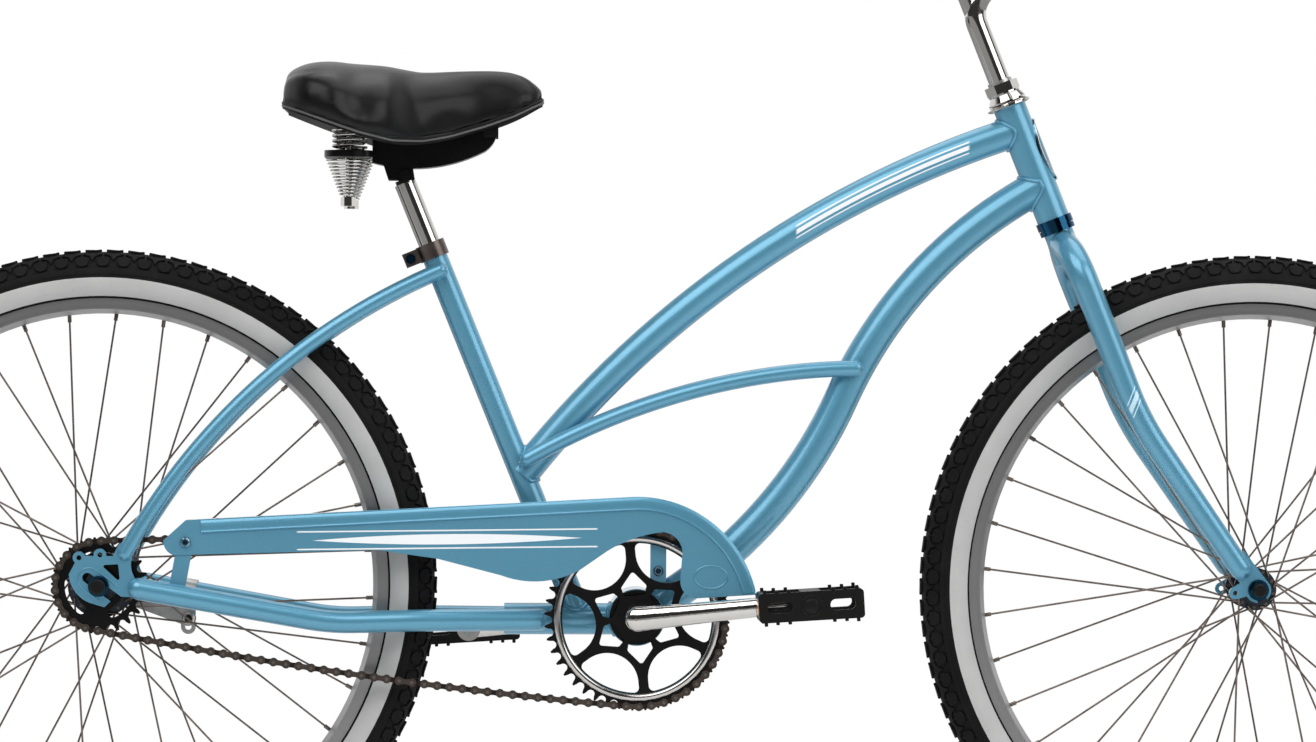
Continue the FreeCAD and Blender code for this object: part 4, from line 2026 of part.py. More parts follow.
def saddle_pan_rise(ahead):
    """Height of the base plate's flat underside at a distance ahead of the saddle's own zero."""
    for front, back in zip(SADDLE_STATIONS, SADDLE_STATIONS[1:]):
        if back[0] <= ahead <= front[0]:
            share = (ahead - back[0]) / (front[0] - back[0])
            hem = back[2] + (front[2] - back[2]) * share
            return hem + d.saddle_recess.value - d.saddle_base_gap.value - d.saddle_base_thickness.value
    raise ValueError("outside the saddle")


def cradle_edge(inset):
    """Corners along the cradle's rounded floor and nose, drawn in by an inset."""
    turn = math.radians(d.cradle_nose_turn.value)
    across, down = math.sin(turn), math.cos(turn)
    ahead = d.cradle_floor_middle.value
    above = (d.cradle_floor_rise + d.cradle_floor_radius).value
    radius = (d.cradle_floor_radius - inset).value
    back = (inset - d.cradle_back).value
    nose = (d.cradle_floor_radius - d.cradle_nose_radius).value
    nose_radius = d.cradle_nose_radius - inset
    return [
        (back, above - math.sqrt(radius ** 2 - (back - ahead) ** 2), d.cradle_floor_radius - inset),
        (ahead + radius * across, above - radius * down, nose_radius),
        (ahead + nose * across + nose_radius.value, above - nose * down)]


def saddle():
    """Padded cover, base plate with its pivot, cradle, springs and their bolts."""
    cover = lofted("SaddleCover", saddle_section)
    cover.Placement = Placement(saddle_point, Rotation())
    keep(cover, "saddle_cover")

    plate = lofted("SaddlePlate", base_section)
    plate.Placement = Placement(saddle_point, Rotation())
    pivot_ahead = d.saddle_pivot_ahead
    pivot_rise = d.saddle_pivot_rise
    tab_inner = d.cradle_half_width + d.part_gap
    tab_half = d.saddle_pivot_radius * 2.5
    tab_low = pivot_rise - tab_half
    tab_height = saddle_pan_rise(pivot_ahead.value) + d.saddle_base_thickness.value * 0.6 - tab_low.value
    pieces = [plate]
    for low in (tab_inner, -tab_inner - d.saddle_tab_thickness):
        pieces.append(box("PivotTab", tab_half * 2, d.saddle_tab_thickness, tab_height,
                          on_saddle(pivot_ahead - tab_half, low, tab_low)))
    pin_length = (tab_inner + d.saddle_tab_thickness * 2) * 2
    pieces.append(cross_cylinder("PivotPin", d.saddle_pivot_radius, pin_length,
                                 on_saddle(pivot_ahead, 0, pivot_rise)))
    keep(fuse("SaddleBase", *pieces), "saddle_base")

    cradle = new_body("SaddleCradle", Placement(saddle_point, Rotation()))
    wall = d.cradle_wall
    floor = cradle_edge(wall * 0)
    inner_floor = cradle_edge(wall)
    add_pad(cradle, "XZ_Plane", d.cradle_half_width * 2,
            floor + [(floor[2][0], 60.2), (60, 55), (20, 45.5), (floor[0][0], 46)], middle=True)
    add_pocket(cradle, "XZ_Plane", (d.cradle_half_width - wall) * 2,
               inner_floor + [(inner_floor[2][0], 90), (inner_floor[0][0], 90)], middle=True)
    add_pocket(cradle, "XZ_Plane", d.cradle_half_width * 4,
               (d.saddle_pivot_radius + d.running_gap, (pivot_ahead, pivot_rise)), middle=True)
    frame_pieces = [cradle]
    bolt_rise = d.clamp_barrel_rise
    ear_inner = d.clamp_barrel_width / 2 + d.part_gap
    ear_top = d.cradle_floor_rise + wall * 1.5
    ear_low = d.cradle_ear_low
    for low in (ear_inner, -ear_inner - d.cradle_ear_thickness):
        ear = new_body("CradleEar", Placement(on_saddle(0, low, 0), Rotation()))
        add_pad(ear, "XZ_Plane", d.cradle_ear_thickness, [
            (-d.cradle_ear_back, ear_top), (-d.cradle_ear_back + d.cradle_ear_lean, ear_low),
            (d.cradle_ear_front + d.cradle_ear_lean / 2, ear_low), (d.cradle_ear_front, ear_top)],
            reverse=True)
        frame_pieces.append(ear)
    bridge = new_body("SpringBridge",
                      Placement(on_saddle(-d.spring_back, 0, d.spring_plate_bottom), Rotation()))
    spread = d.spring_spread
    radius = d.spring_plate_radius
    add_pad(bridge, "XY_Plane", d.spring_plate_thickness, [
        (radius, -spread), (radius, spread, radius), (0, spread + radius, radius), (-radius, spread),
        (-radius, -spread, radius), (0, -spread - radius, radius)])
    add_pocket(bridge, "XY_Plane", d.spring_plate_thickness * 4,
               (d.spring_plate_hole, (0, spread)), (d.spring_plate_hole, (0, -spread)), middle=True)
    frame_pieces.append(bridge)
    ear_drill = cross_cylinder("EarDrill", d.clamp_bolt_radius + d.running_gap, d.cradle_half_width * 4,
                               on_saddle(0, 0, bolt_rise))
    keep(cut("SaddleFrame", fuse("SaddleFrameWhole", *frame_pieces), ear_drill), "saddle_frame")
    springs()


def springs():
    """Both springs of each pair, and the bolts that run through them."""
    plate_top = (d.spring_plate_bottom + d.spring_plate_thickness).value
    gap = d.spring_end_gap.value
    upper_wire = d.upper_spring_wire.value
    pan = saddle_pan_rise(d.upper_spring_radius.value + upper_wire / 2 - d.spring_back.value)
    bolt_top = saddle_pan_rise(d.spring_bolt_radius.value - d.spring_back.value)
    lower_wire = d.lower_spring_wire.value
    upper_low = plate_top + upper_wire / 2 + gap
    upper_rise = pan - upper_wire / 2 - d.spring_pan_gap.value - upper_low
    lower_top = d.spring_plate_bottom.value - lower_wire / 2 - gap
    lower_fall = d.lower_spring_height.value - lower_wire - gap * 2
    nut_top = d.spring_plate_bottom - d.lower_spring_height
    upper, lower, bolts = [], [], []
    for side, hand in (("Right", -1), ("Left", 1)):
        offset = d.spring_spread.value * hand
        upper.append(coil("%s upper spring" % side, on_saddle(-d.spring_back, offset, upper_low),
                          d.upper_spring_radius.value, d.upper_spring_radius.value, upper_rise,
                          d.upper_spring_turns.value, upper_wire))
        lower.append(coil("%s lower spring" % side, on_saddle(-d.spring_back, offset, lower_top),
                          d.lower_spring_top_radius.value, d.lower_spring_end_radius.value, -lower_fall,
                          d.lower_spring_turns.value, lower_wire))
        shank = cylinder("SpringBolt" + side, d.spring_bolt_radius,
                         bolt_top - nut_top.value + d.spring_nut_height.value,
                         on_saddle(-d.spring_back, offset, nut_top - d.spring_nut_height))
        nut = hexagon("SpringNut" + side, d.spring_nut_flats, d.spring_nut_height,
                      on_saddle(-d.spring_back, offset, nut_top - d.spring_nut_height))
        bolts.append(fuse("SpringBoltWhole" + side, shank, nut))
    keep(coded("SaddleSprings", Part.makeCompound(upper)), "saddle_springs")
    keep(coded("SaddleReboundSprings", Part.makeCompound(lower)), "saddle_rebound_springs")
    keep(group("SaddleSpringBolts", *bolts), "saddle_spring_bolts")


# The whole bicycle

yoke_bar, seat_mass, down_bar = main_tubes()
chain_bar = rear_triangle(yoke_bar, seat_mass)
head_badge()
cages = headset()
fork()
front_wheel()
cages += rear_wheel()
ring_phase, rear_phase = chain()
chainring(ring_phase)
rear_sprocket(rear_phase)
cages += crankset()
keep(coded("BallBearings", Part.makeCompound(cages)), "ball_bearings")
pedal("RightPedal", "right_pedal", 1)
pedal("LeftPedal", "left_pedal", -1)
bolts = chain_guard(down_bar, chain_bar)
bolts.append(brake_arm())
stem()
handlebar()
seat_post()
bolts.append(seat_collar())
keep(group("FrameBolts", *bolts), "frame_bolts")
saddle()
doc.recompute()

# Every object has to be sound before the pieces are written
broken = [item.Name for item in doc.Objects if "Invalid" in item.State or "Error" in item.State]
if broken:
    raise ValueError("did not build: " + ", ".join(broken))
os.makedirs("parts", exist_ok=True)
for item in nodes:
    shape = item.Shape
    if shape.isNull() or not shape.isValid() or not shape.Solids:
        raise ValueError("%s has no sound solid" % item.Label)
    shape.exportStep("parts/%s.step" % item.Label)
print("%d pieces written" % len(nodes))
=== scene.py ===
"""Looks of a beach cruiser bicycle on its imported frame: finishes, tyres, saddle, grips, welds and trim."""
import json
import math

import bpy
from mathutils import Matrix, Vector

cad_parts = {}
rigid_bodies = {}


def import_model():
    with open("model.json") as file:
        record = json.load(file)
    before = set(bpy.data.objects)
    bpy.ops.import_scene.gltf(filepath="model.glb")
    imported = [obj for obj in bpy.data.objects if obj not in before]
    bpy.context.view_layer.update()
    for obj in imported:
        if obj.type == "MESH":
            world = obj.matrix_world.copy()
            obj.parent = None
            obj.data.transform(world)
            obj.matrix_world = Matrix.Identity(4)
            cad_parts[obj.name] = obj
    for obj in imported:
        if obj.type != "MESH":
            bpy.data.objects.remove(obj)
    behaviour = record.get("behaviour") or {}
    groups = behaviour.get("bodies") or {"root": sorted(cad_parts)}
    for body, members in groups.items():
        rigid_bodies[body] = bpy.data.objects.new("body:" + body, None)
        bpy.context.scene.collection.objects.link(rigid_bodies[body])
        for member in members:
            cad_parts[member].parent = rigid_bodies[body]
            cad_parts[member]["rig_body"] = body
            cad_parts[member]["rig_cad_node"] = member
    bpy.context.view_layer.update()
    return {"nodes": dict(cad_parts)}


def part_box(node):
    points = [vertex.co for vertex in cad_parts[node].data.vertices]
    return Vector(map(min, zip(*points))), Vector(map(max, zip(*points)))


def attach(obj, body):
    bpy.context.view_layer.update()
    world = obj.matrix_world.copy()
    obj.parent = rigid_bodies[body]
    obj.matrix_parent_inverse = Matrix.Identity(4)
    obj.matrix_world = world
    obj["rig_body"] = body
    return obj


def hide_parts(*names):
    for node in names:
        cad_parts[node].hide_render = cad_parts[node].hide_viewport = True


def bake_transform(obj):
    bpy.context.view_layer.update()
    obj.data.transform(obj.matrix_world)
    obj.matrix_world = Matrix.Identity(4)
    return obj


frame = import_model()
nodes = frame["nodes"]

# Places on the bicycle, in metres
FRONT_AXLE = Vector((0.58, 0, 0.3365))
REAR_AXLE = Vector((-0.58, 0, 0.3365))
BRACKET = Vector((-0.0431, 0, 0.3059))
HEAD_FOOT = Vector((0.37742, 0, 0.70899))
HEAD_UP = Vector((-0.3697, 0, 0.9291))
HEAD_RADIUS = 0.0167
SEAT_FOOT = Vector((-0.0989, 0, 0.3027))
SEAT_UP = Vector((-0.3778, 0, 0.9259))
SEAT_TUBE_RADIUS = 0.0127
SADDLE_POINT = Vector((-0.2776, 0, 0.7406))
ACROSS = Vector((0, 1, 0))
CHAIN_LINE = 0.044

# Tyre
TYRE_MIDDLE = 0.308
TYRE_ROUND = 0.0285
TYRE_WALL = 0.0045
CASING_STEPS = 160
TREAD_DEPTH = 0.0024
TREAD_REPEATS = 98
TREAD_SINK = 0.0008
TREAD_ROUNDING = 0.0005
TREAD_TOP_SHARE = (0.88, 0.9, 1)
TREAD_MERGE = 0.000001
ARROW_DROP = 0.0004
WHITEWALL_LOW = 0.2895
WHITEWALL_HIGH = 0.308
WHITEWALL_LEAST_OFFSET = 0.0155


# Small helpers for modelling

def alone(piece):
    """Leaves one piece selected and active."""
    bpy.ops.object.select_all(action="DESELECT")
    piece.select_set(True)
    bpy.context.view_layer.objects.active = piece


def apply_modifiers(piece):
    """Applies a piece's modifiers, first to last."""
    alone(piece)
    for modifier in list(piece.modifiers):
        bpy.ops.object.modifier_apply(modifier=modifier.name)


def settle(piece):
    """Puts a piece's place and turn into its mesh."""
    alone(piece)
    bpy.ops.object.transform_apply(location=True, rotation=True, scale=True)


def tidy_mesh(piece, merge=0.00001):
    """Merges doubled points and turns every face outwards."""
    alone(piece)
    bpy.ops.object.mode_set(mode="EDIT")
    bpy.ops.mesh.select_all(action="SELECT")
    bpy.ops.mesh.remove_doubles(threshold=merge)
    bpy.ops.mesh.normals_make_consistent(inside=False)
    bpy.ops.object.mode_set(mode="OBJECT")


def smooth(piece, degrees=35):
    """Shades a piece smooth, with creases where faces meet at more than an angle."""
    alone(piece)
    bpy.ops.object.shade_smooth_by_angle(angle=math.radians(degrees))


def join(pieces, name):
    """Joins pieces into the first of them."""
    bpy.ops.object.select_all(action="DESELECT")
    for piece in pieces:
        piece.select_set(True)
    bpy.context.view_layer.objects.active = pieces[0]
    bpy.ops.object.join()
    pieces[0].name = name
    return pieces[0]


def dress(piece, name, body, slot, *finishes):
    """Names a finished piece, gives it its finish and lets it ride on its body."""
    piece.name = name
    piece.data.name = name
    piece.data.materials.clear()
    for finish in finishes:
        piece.data.materials.append(finish.material)
    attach(piece, body)
    return piece


def ring_outline(points):
    """A flat loop with one corner for each point given."""
    bpy.ops.object.select_all(action="DESELECT")
    bpy.ops.mesh.primitive_circle_add(vertices=len(points), fill_type="NOTHING")
    loop = bpy.context.object
    for vertex, point in zip(loop.data.vertices, points):
        vertex.co = point
    return loop


def spun(name, points, centre, axis, steps):
    """Turns a closed section round an axis into a solid ring."""
    ring = ring_outline(points)
    alone(ring)
    bpy.ops.object.mode_set(mode="EDIT")
    bpy.ops.mesh.select_all(action="SELECT")
    bpy.ops.mesh.spin(steps=steps, angle=2 * math.pi, center=centre, axis=axis)
    bpy.ops.object.mode_set(mode="OBJECT")
    tidy_mesh(ring)
    smooth(ring)
    ring.name = name
    return ring


def wire(points, radius, closed, swell=None):
    """A round bead along points. The swell gives each point its own share of the radius."""
    bpy.ops.object.select_all(action="DESELECT")
    bpy.ops.curve.primitive_nurbs_path_add()
    bead = bpy.context.object
    curve = bead.data
    curve.splines.clear()
    spline = curve.splines.new("POLY")
    spline.points.add(len(points) - 1)
    for index, point in enumerate(points):
        spline.points[index].co = (*point, 1)
        spline.points[index].radius = swell[index] if swell else 1
    spline.use_cyclic_u = closed
    curve.dimensions = "3D"
    curve.bevel_depth = radius
    curve.bevel_resolution = 2
    curve.use_fill_caps = not closed
    alone(bead)
    bpy.ops.object.convert(target="MESH")
    tidy_mesh(bead)
    smooth(bead, degrees=60)
    return bead


def evenly(points, step, closed):
    """The same line with points at an even step along it."""
    line = list(points) + ([points[0]] if closed else [])
    lengths = [(b - a).length for a, b in zip(line, line[1:])]
    total = sum(lengths)
    count = max(3, round(total / step))
    result = []
    index = 0
    passed = 0.0
    for number in range(count if closed else count + 1):
        goal = min(total * number / count, total - 1e-9)
        while passed + lengths[index] < goal:
            passed += lengths[index]
            index += 1
        share = (goal - passed) / lengths[index]
        result.append(line[index].lerp(line[index + 1], share))
    return result


# Finishes

class Socket:
    """A value in a finish that takes part in sums."""

    def __init__(self, finish, socket):
        self.finish = finish
        self.socket = socket

    def sum(self, operation, first, second=None):
        inputs = {0: first} if second is None else {0: first, 1: second}
        return self.finish.add("ShaderNodeMath", {"operation": operation}, inputs)

    def __add__(self, other):
        return self.sum("ADD", self, other)

    __radd__ = __add__

    def __sub__(self, other):
        return self.sum("SUBTRACT", self, other)

    def __rsub__(self, other):
        return self.sum("SUBTRACT", other, self)

    def __mul__(self, other):
        return self.sum("MULTIPLY", self, other)

    __rmul__ = __mul__

    def __truediv__(self, other):
        return self.sum("DIVIDE", self, other)

    def __abs__(self):
        return self.sum("ABSOLUTE", self)

    def root(self):
        return self.sum("SQRT", self)

    def most(self, other):
        return self.sum("MAXIMUM", self, other)

    def rise(self, low, high):
        """Goes smoothly from 0 to 1 as the value goes from low to high."""
        return self.finish.add("ShaderNodeMapRange", {"interpolation_type": "SMOOTHSTEP"},
                               {"Value": self, "From Min": low, "From Max": high})


class Nodes:
    """A shader tree, with methods that add a node and link it."""

    def __init__(self, tree):
        self.tree = tree

    def feed(self, socket, value):
        if isinstance(value, Socket):
            self.tree.links.new(value.socket, socket)
        else:
            socket.default_value = value

    def add(self, kind, settings=None, inputs=None, output=0):
        node = self.tree.nodes.new(kind)
        for key, value in (settings or {}).items():
            setattr(node, key, value)
        for key, value in (inputs or {}).items():
            self.feed(node.inputs[key], value)
        return Socket(self, node.outputs[output])

    def axes(self, vector):
        node = self.add("ShaderNodeSeparateXYZ", None, {0: vector})
        outputs = node.socket.node.outputs
        return [Socket(self, output) for output in outputs]

    def vector(self, x, y, z):
        return self.add("ShaderNodeCombineXYZ", None, {0: x, 1: y, 2: z})


class Finish(Nodes):
    """One material and its shader."""

    def __init__(self, name, colour, roughness, metallic=0.0, extra=None):
        self.material = bpy.data.materials.new(name)
        self.material.use_nodes = True
        super().__init__(self.material.node_tree)
        self.shader = self.tree.nodes["Principled BSDF"]
        self.put("Base Color", (*colour, 1))
        self.put("Roughness", roughness)
        self.put("Metallic", metallic)
        for key, value in (extra or {}).items():
            self.put(key, value)
        self.place = self.add("ShaderNodeTexCoord", output="Object")

    def put(self, socket, value):
        self.feed(self.shader.inputs[socket], value)

    def around(self, centre, turn=0.0):
        """Object coordinates with their origin at a point, turned about the axis across the bicycle."""
        moved = self.add("ShaderNodeVectorMath", {"operation": "SUBTRACT"}, {0: self.place, 1: tuple(centre)})
        return self.add("ShaderNodeMapping", None, {"Vector": moved, "Rotation": (0, turn, 0)})

    def noise(self, scale, detail=3.0, vector=None):
        return self.add("ShaderNodeTexNoise", None,
                        {"Vector": vector or self.place, "Scale": scale, "Detail": detail})

    def cells(self, scale, feature="F1", output="Distance"):
        return self.add("ShaderNodeTexVoronoi", {"feature": feature},
                        {"Vector": self.place, "Scale": scale}, output)

    def blend(self, share, first, second):
        first = first if isinstance(first, Socket) else (*first[:3], 1)
        second = second if isinstance(second, Socket) else (*second[:3], 1)
        return self.add("ShaderNodeMix", {"data_type": "RGBA"}, {0: share, 6: first, 7: second}, 2)

    def bump(self, height, depth, strength):
        self.put("Normal", self.add("ShaderNodeBump", None,
                                    {"Strength": strength, "Distance": depth, "Height": height}))


def shade(colour, factor):
    """A colour made darker or lighter by a factor."""
    return tuple(min(1.0, channel * factor) for channel in colour[:3])


PAINT_BLUE = (0.106, 0.335, 0.485)
PAINT_METALLIC = 0.5
STRIPE_WHITE = (0.86, 0.89, 0.91)
STRIPE_PALE = (0.5, 0.72, 0.84)
STRIPE_EDGE = 0.0003
SPEAR_EDGE = (-0.0002, 0.0003)
THREAD_GREY = (0.5, 0.49, 0.48)
BRIGHT_PLATE = (0.64, 0.62, 0.595)
BLUED_PLATE = (0.02, 0.09, 0.165)
ZINC_GREY = (0.5, 0.5, 0.49)
RIM_ALLOY = (0.4, 0.4, 0.4)


def paint(name):
    """Light metallic blue under clear lacquer: fine flake, slow drift of tone, faint orange peel."""
    finish = Finish(name, PAINT_BLUE, 0.34, PAINT_METALLIC, {"Coat Weight": 0.7, "Coat Roughness": 0.06})
    flake = finish.cells(scale=2600, output="Color")
    flake_value = finish.add("ShaderNodeSeparateColor", None, {0: flake}).rise(0.2, 1.0)
    drift = finish.noise(scale=7, detail=2)
    tone = finish.blend(drift, shade(PAINT_BLUE, 0.93), shade(PAINT_BLUE, 1.07))
    finish.tone = finish.blend(flake_value * 0.16, tone, shade(PAINT_BLUE, 1.5))
    finish.put("Base Color", finish.tone)
    finish.put("Roughness", finish.noise(scale=160, detail=2) * 0.08 + 0.32)
    finish.bump(finish.noise(scale=420, detail=1), depth=0.00006, strength=0.35)
    return finish


def stripe_over(finish, mask, colour):
    """Lays a painted stripe over a finish where the mask is 1."""
    finish.tone = finish.blend(mask, finish.tone, colour)
    finish.put("Base Color", finish.tone)
    finish.put("Metallic", (1 - mask) * PAINT_METALLIC)


def line_mask(distance, half_width):
    """A mask that is 1 within a half width of a line, with a thin soft edge."""
    return abs(distance).rise(half_width + STRIPE_EDGE, half_width - STRIPE_EDGE)


def spear_mask(along, across, reach, half_height, tip):
    """A mask of a spear, thickest in its middle and run out to a point at both ends."""
    taper = (1 - (along / reach) * (along / reach)).most(0.0)
    return (taper * half_height - abs(across)).rise(*SPEAR_EDGE) * taper.rise(0.0, tip)


def guard_paint():
    """Paint with a plain spear and two pinstripes along the guard's outer face."""
    finish = paint("guard_blue_striped")
    middle = BRACKET + Vector((-0.19, 0, 0.0785))
    reach = 0.135
    x, y, z = finish.axes(finish.around(middle, math.radians(0.8)))
    outer = y.rise(-0.0535, -0.0538)
    spear = spear_mask(x, z, reach, half_height=0.0052, tip=0.02)
    inside = abs(x).rise(reach * 1.12, reach * 1.1)
    pins = line_mask(abs(z) - 0.0088, half_width=0.0007) * inside
    stripe_over(finish, spear.most(pins) * outer, STRIPE_WHITE)
    return finish


def top_tube_paint():
    """Paint with a white band between two fine lines along both flanks of the top tube."""
    finish = paint("top_tube_blue_striped")
    bow_centre = (0.66381, 0, -0.1939)
    bow_radius = 1.043
    x, y, z = finish.axes(finish.around(bow_centre))
    offset = (x * x + z * z).root() - bow_radius
    along = finish.axes(finish.place)[0]
    flank = abs(y).rise(0.008, 0.0095)
    reach = along.rise(0.115, 0.118) * along.rise(0.292, 0.289)
    band = line_mask(offset, half_width=0.0021)
    pins = line_mask(abs(offset) - 0.0052, half_width=0.0006)
    stripe_over(finish, band.most(pins) * flank * reach, STRIPE_WHITE)
    return finish


def fork_paint():
    """Paint with a short pale spear between two fine lines down the outside of each fork blade."""
    finish = paint("fork_blue_striped")
    middle = (0.4525, 0, 0.523)
    x, y, z = finish.axes(finish.around(middle, math.radians(-21.7)))
    outer = abs(y).rise(0.062, 0.0635)
    reach = abs(z).rise(0.061, 0.059)
    spear = spear_mask(z, x, reach=0.06, half_height=0.0024, tip=0.04)
    pins = line_mask(abs(x) - 0.005, half_width=0.0006)
    stripe_over(finish, spear.most(pins) * outer * reach, STRIPE_PALE)
    return finish


def steerer_paint():
    """Paint up to the crown, bare plated thread above it."""
    finish = paint("steerer_blue")
    thread = finish.axes(finish.place)[2].rise(0.74, 0.745)
    stripe_over(finish, thread, THREAD_GREY)
    finish.put("Metallic", thread * (1 - PAINT_METALLIC) + PAINT_METALLIC)
    return finish


def chrome(name, colour=BRIGHT_PLATE, roughness=0.07):
    """Bright plating with faint haze and hairlines."""
    finish = Finish(name, colour, roughness, 1.0)
    haze = finish.noise(scale=34, detail=3)
    hairlines = finish.noise(scale=900, detail=1)
    finish.put("Base Color", finish.blend(haze, shade(colour, 0.94), shade(colour, 1.05)))
    finish.put("Roughness", haze.rise(0.35, 0.8) * 0.07 + hairlines * 0.03 + roughness - 0.03)
    finish.bump(finish.noise(scale=130, detail=2), depth=0.00005, strength=0.18)
    return finish


def steel(name, colour, roughness, grain=520):
    """Plain worked metal: grainy, with darker patches of old oil."""
    finish = Finish(name, colour, roughness, 1.0)
    patches = finish.noise(scale=60, detail=4)
    finish.put("Base Color", finish.blend(patches.rise(0.35, 0.75), shade(colour, 1.08), shade(colour, 0.7)))
    finish.put("Roughness", finish.noise(scale=grain, detail=2) * 0.2 + roughness - 0.1)
    finish.bump(finish.noise(scale=grain, detail=3), depth=0.00008, strength=0.3)
    return finish


def brushed_ring(name, axle, colour, roughness):
    """Alloy turned on its axle, with fine lines that run round it."""
    finish = Finish(name, colour, roughness, 1.0)
    x, y, z = finish.axes(finish.around(axle))
    radius = (x * x + z * z).root()
    fineness = 1600
    lines = finish.noise(scale=1.0, detail=2, vector=finish.vector(radius * fineness, y * fineness, 0.0))
    cloud = finish.noise(scale=22, detail=3)
    mottle = lines * 0.6 + cloud * 0.4
    finish.put("Base Color", finish.blend(mottle, shade(colour, 0.78), shade(colour, 1.15)))
    finish.put("Roughness", lines * 0.2 + roughness - 0.08)
    finish.bump(lines, depth=0.00006, strength=0.35)
    return finish


def black_coat(name, colour=(0.0016, 0.0015, 0.0015), roughness=0.3):
    """Black stove paint on metal, slightly uneven in gloss."""
    finish = Finish(name, colour, roughness, 0.0,
                    {"Specular IOR Level": 0.22, "Coat Weight": 0.1, "Coat Roughness": 0.1})
    cloud = finish.noise(scale=45, detail=4)
    finish.put("Base Color", finish.blend(cloud, shade(colour, 0.8), shade(colour, 1.6)))
    finish.put("Roughness", cloud * 0.2 + roughness - 0.1)
    finish.bump(finish.noise(scale=700, detail=2), depth=0.00005, strength=0.3)
    return finish


def chain_finish():
    """Oiled brown plates with painted shade between them, and lighter pin heads."""
    finish = steel("chain_steel", (0.1, 0.08, 0.069), roughness=0.42)
    shade_between_plates = (0.026, 0.021, 0.018)
    pin_heads = (0.19, 0.165, 0.15)
    depth = abs(finish.axes(finish.place)[1] + CHAIN_LINE)
    plates = finish.blend(finish.noise(scale=60, detail=4), (0.085, 0.066, 0.056), (0.13, 0.105, 0.09))
    # Painted shade: the middle of the chain, between its outer plates, is coloured darker.
    tone = finish.blend(depth.rise(0.0026, 0.0028), shade_between_plates, plates)
    finish.put("Base Color", finish.blend(depth.rise(0.0038, 0.0039), tone, pin_heads))
    return finish


def bolt_finish():
    """Blued screws on the guard, with the brake arm's bolt left in zinc."""
    finish = chrome("bolt_plating", BLUED_PLATE, roughness=0.16)
    x, _, z = finish.axes(finish.place)
    zinc_bolt = x.rise(-0.47, -0.475) * z.rise(0.335, 0.33)
    finish.put("Base Color", finish.blend(zinc_bolt, (0.02, 0.07, 0.125), ZINC_GREY))
    finish.put("Roughness", zinc_bolt * 0.16 + finish.noise(scale=700, detail=2) * 0.1 + 0.12)
    return finish


def headset_finish():
    """Plated cups: bright above, deep blue at the lower one."""
    finish = chrome("headset_plating")
    deep_blue = (0.012, 0.06, 0.125)
    lower_cup = finish.axes(finish.place)[2].rise(0.775, 0.765)
    finish.put("Base Color", finish.blend(lower_cup, BRIGHT_PLATE, deep_blue))
    return finish


def rubber(name, colour, roughness, grain=260):
    """Dull rubber with a fine grain and a little dust."""
    finish = Finish(name, colour, roughness, 0.0, {"Specular IOR Level": 0.14})
    dust = finish.noise(scale=30, detail=4)
    fine = finish.noise(scale=grain, detail=3)
    finish.put("Base Color", finish.blend(dust.rise(0.4, 0.85), colour, shade(colour, 1.9)))
    finish.put("Roughness", fine * 0.2 + roughness - 0.08)
    finish.bump(fine, depth=0.00018, strength=0.4)
    return finish


def whitewall_rubber():
    """Pale grey sidewall band, a little mottled and scuffed."""
    colour = (0.46, 0.46, 0.455)
    finish = Finish("whitewall_rubber", colour, 0.5)
    cloud = finish.noise(scale=26, detail=5)
    scuff = finish.noise(scale=240, detail=4).rise(0.62, 0.75)
    base = finish.blend(cloud, shade(colour, 0.86), shade(colour, 1.12))
    finish.put("Base Color", finish.blend(scuff * 0.25, base, (0.3, 0.29, 0.28)))
    finish.put("Roughness", cloud * 0.2 + 0.4)
    finish.bump(finish.noise(scale=320, detail=3), depth=0.00012, strength=0.35)
    return finish


def vinyl():
    """Black grained vinyl with a soft gloss."""
    colour = (0.0018, 0.0018, 0.0018)
    finish = Finish("saddle_vinyl_grain", colour, 0.34, 0.0,
                    {"Specular IOR Level": 0.1, "Coat Weight": 0.4, "Coat Roughness": 0.3})
    warp = finish.noise(scale=140, detail=3)
    cells = finish.cells(scale=720, feature="DISTANCE_TO_EDGE")
    grain = cells.rise(0.02, 0.22) * 0.75 + warp * 0.5
    finish.put("Base Color", finish.blend(warp, shade(colour, 0.7), shade(colour, 1.9)))
    finish.put("Roughness", 0.4 - cells.rise(0.02, 0.25) * 0.12 + finish.noise(scale=18, detail=3) * 0.08)
    finish.bump(grain, depth=0.00012, strength=0.4)
    return finish


def plastic(name, colour, roughness=0.42):
    """Moulded plastic with a fine grain from its mould."""
    finish = Finish(name, colour, roughness, 0.0, {"Specular IOR Level": 0.22})
    grain = finish.noise(scale=1400, detail=2)
    cloud = finish.noise(scale=24, detail=3)
    finish.put("Base Color", finish.blend(cloud, shade(colour, 0.75), shade(colour, 1.5)))
    finish.put("Roughness", grain * 0.16 + roughness - 0.08)
    finish.bump(grain, depth=0.00008, strength=0.35)
    return finish


def reflector():
    """Amber lens with a pattern of small cells."""
    colour = (0.85, 0.28, 0.02)
    finish = Finish("amber_lens", colour, 0.14, 0.0, {"Coat Weight": 0.6, "Coat Roughness": 0.04})
    cells = finish.cells(scale=420)
    finish.put("Base Color", finish.blend(cells.rise(0.1, 0.7), shade(colour, 1.15), shade(colour, 0.45)))
    finish.put("Roughness", cells * 0.15 + 0.1)
    finish.bump(cells, depth=0.0003, strength=0.6)
    return finish


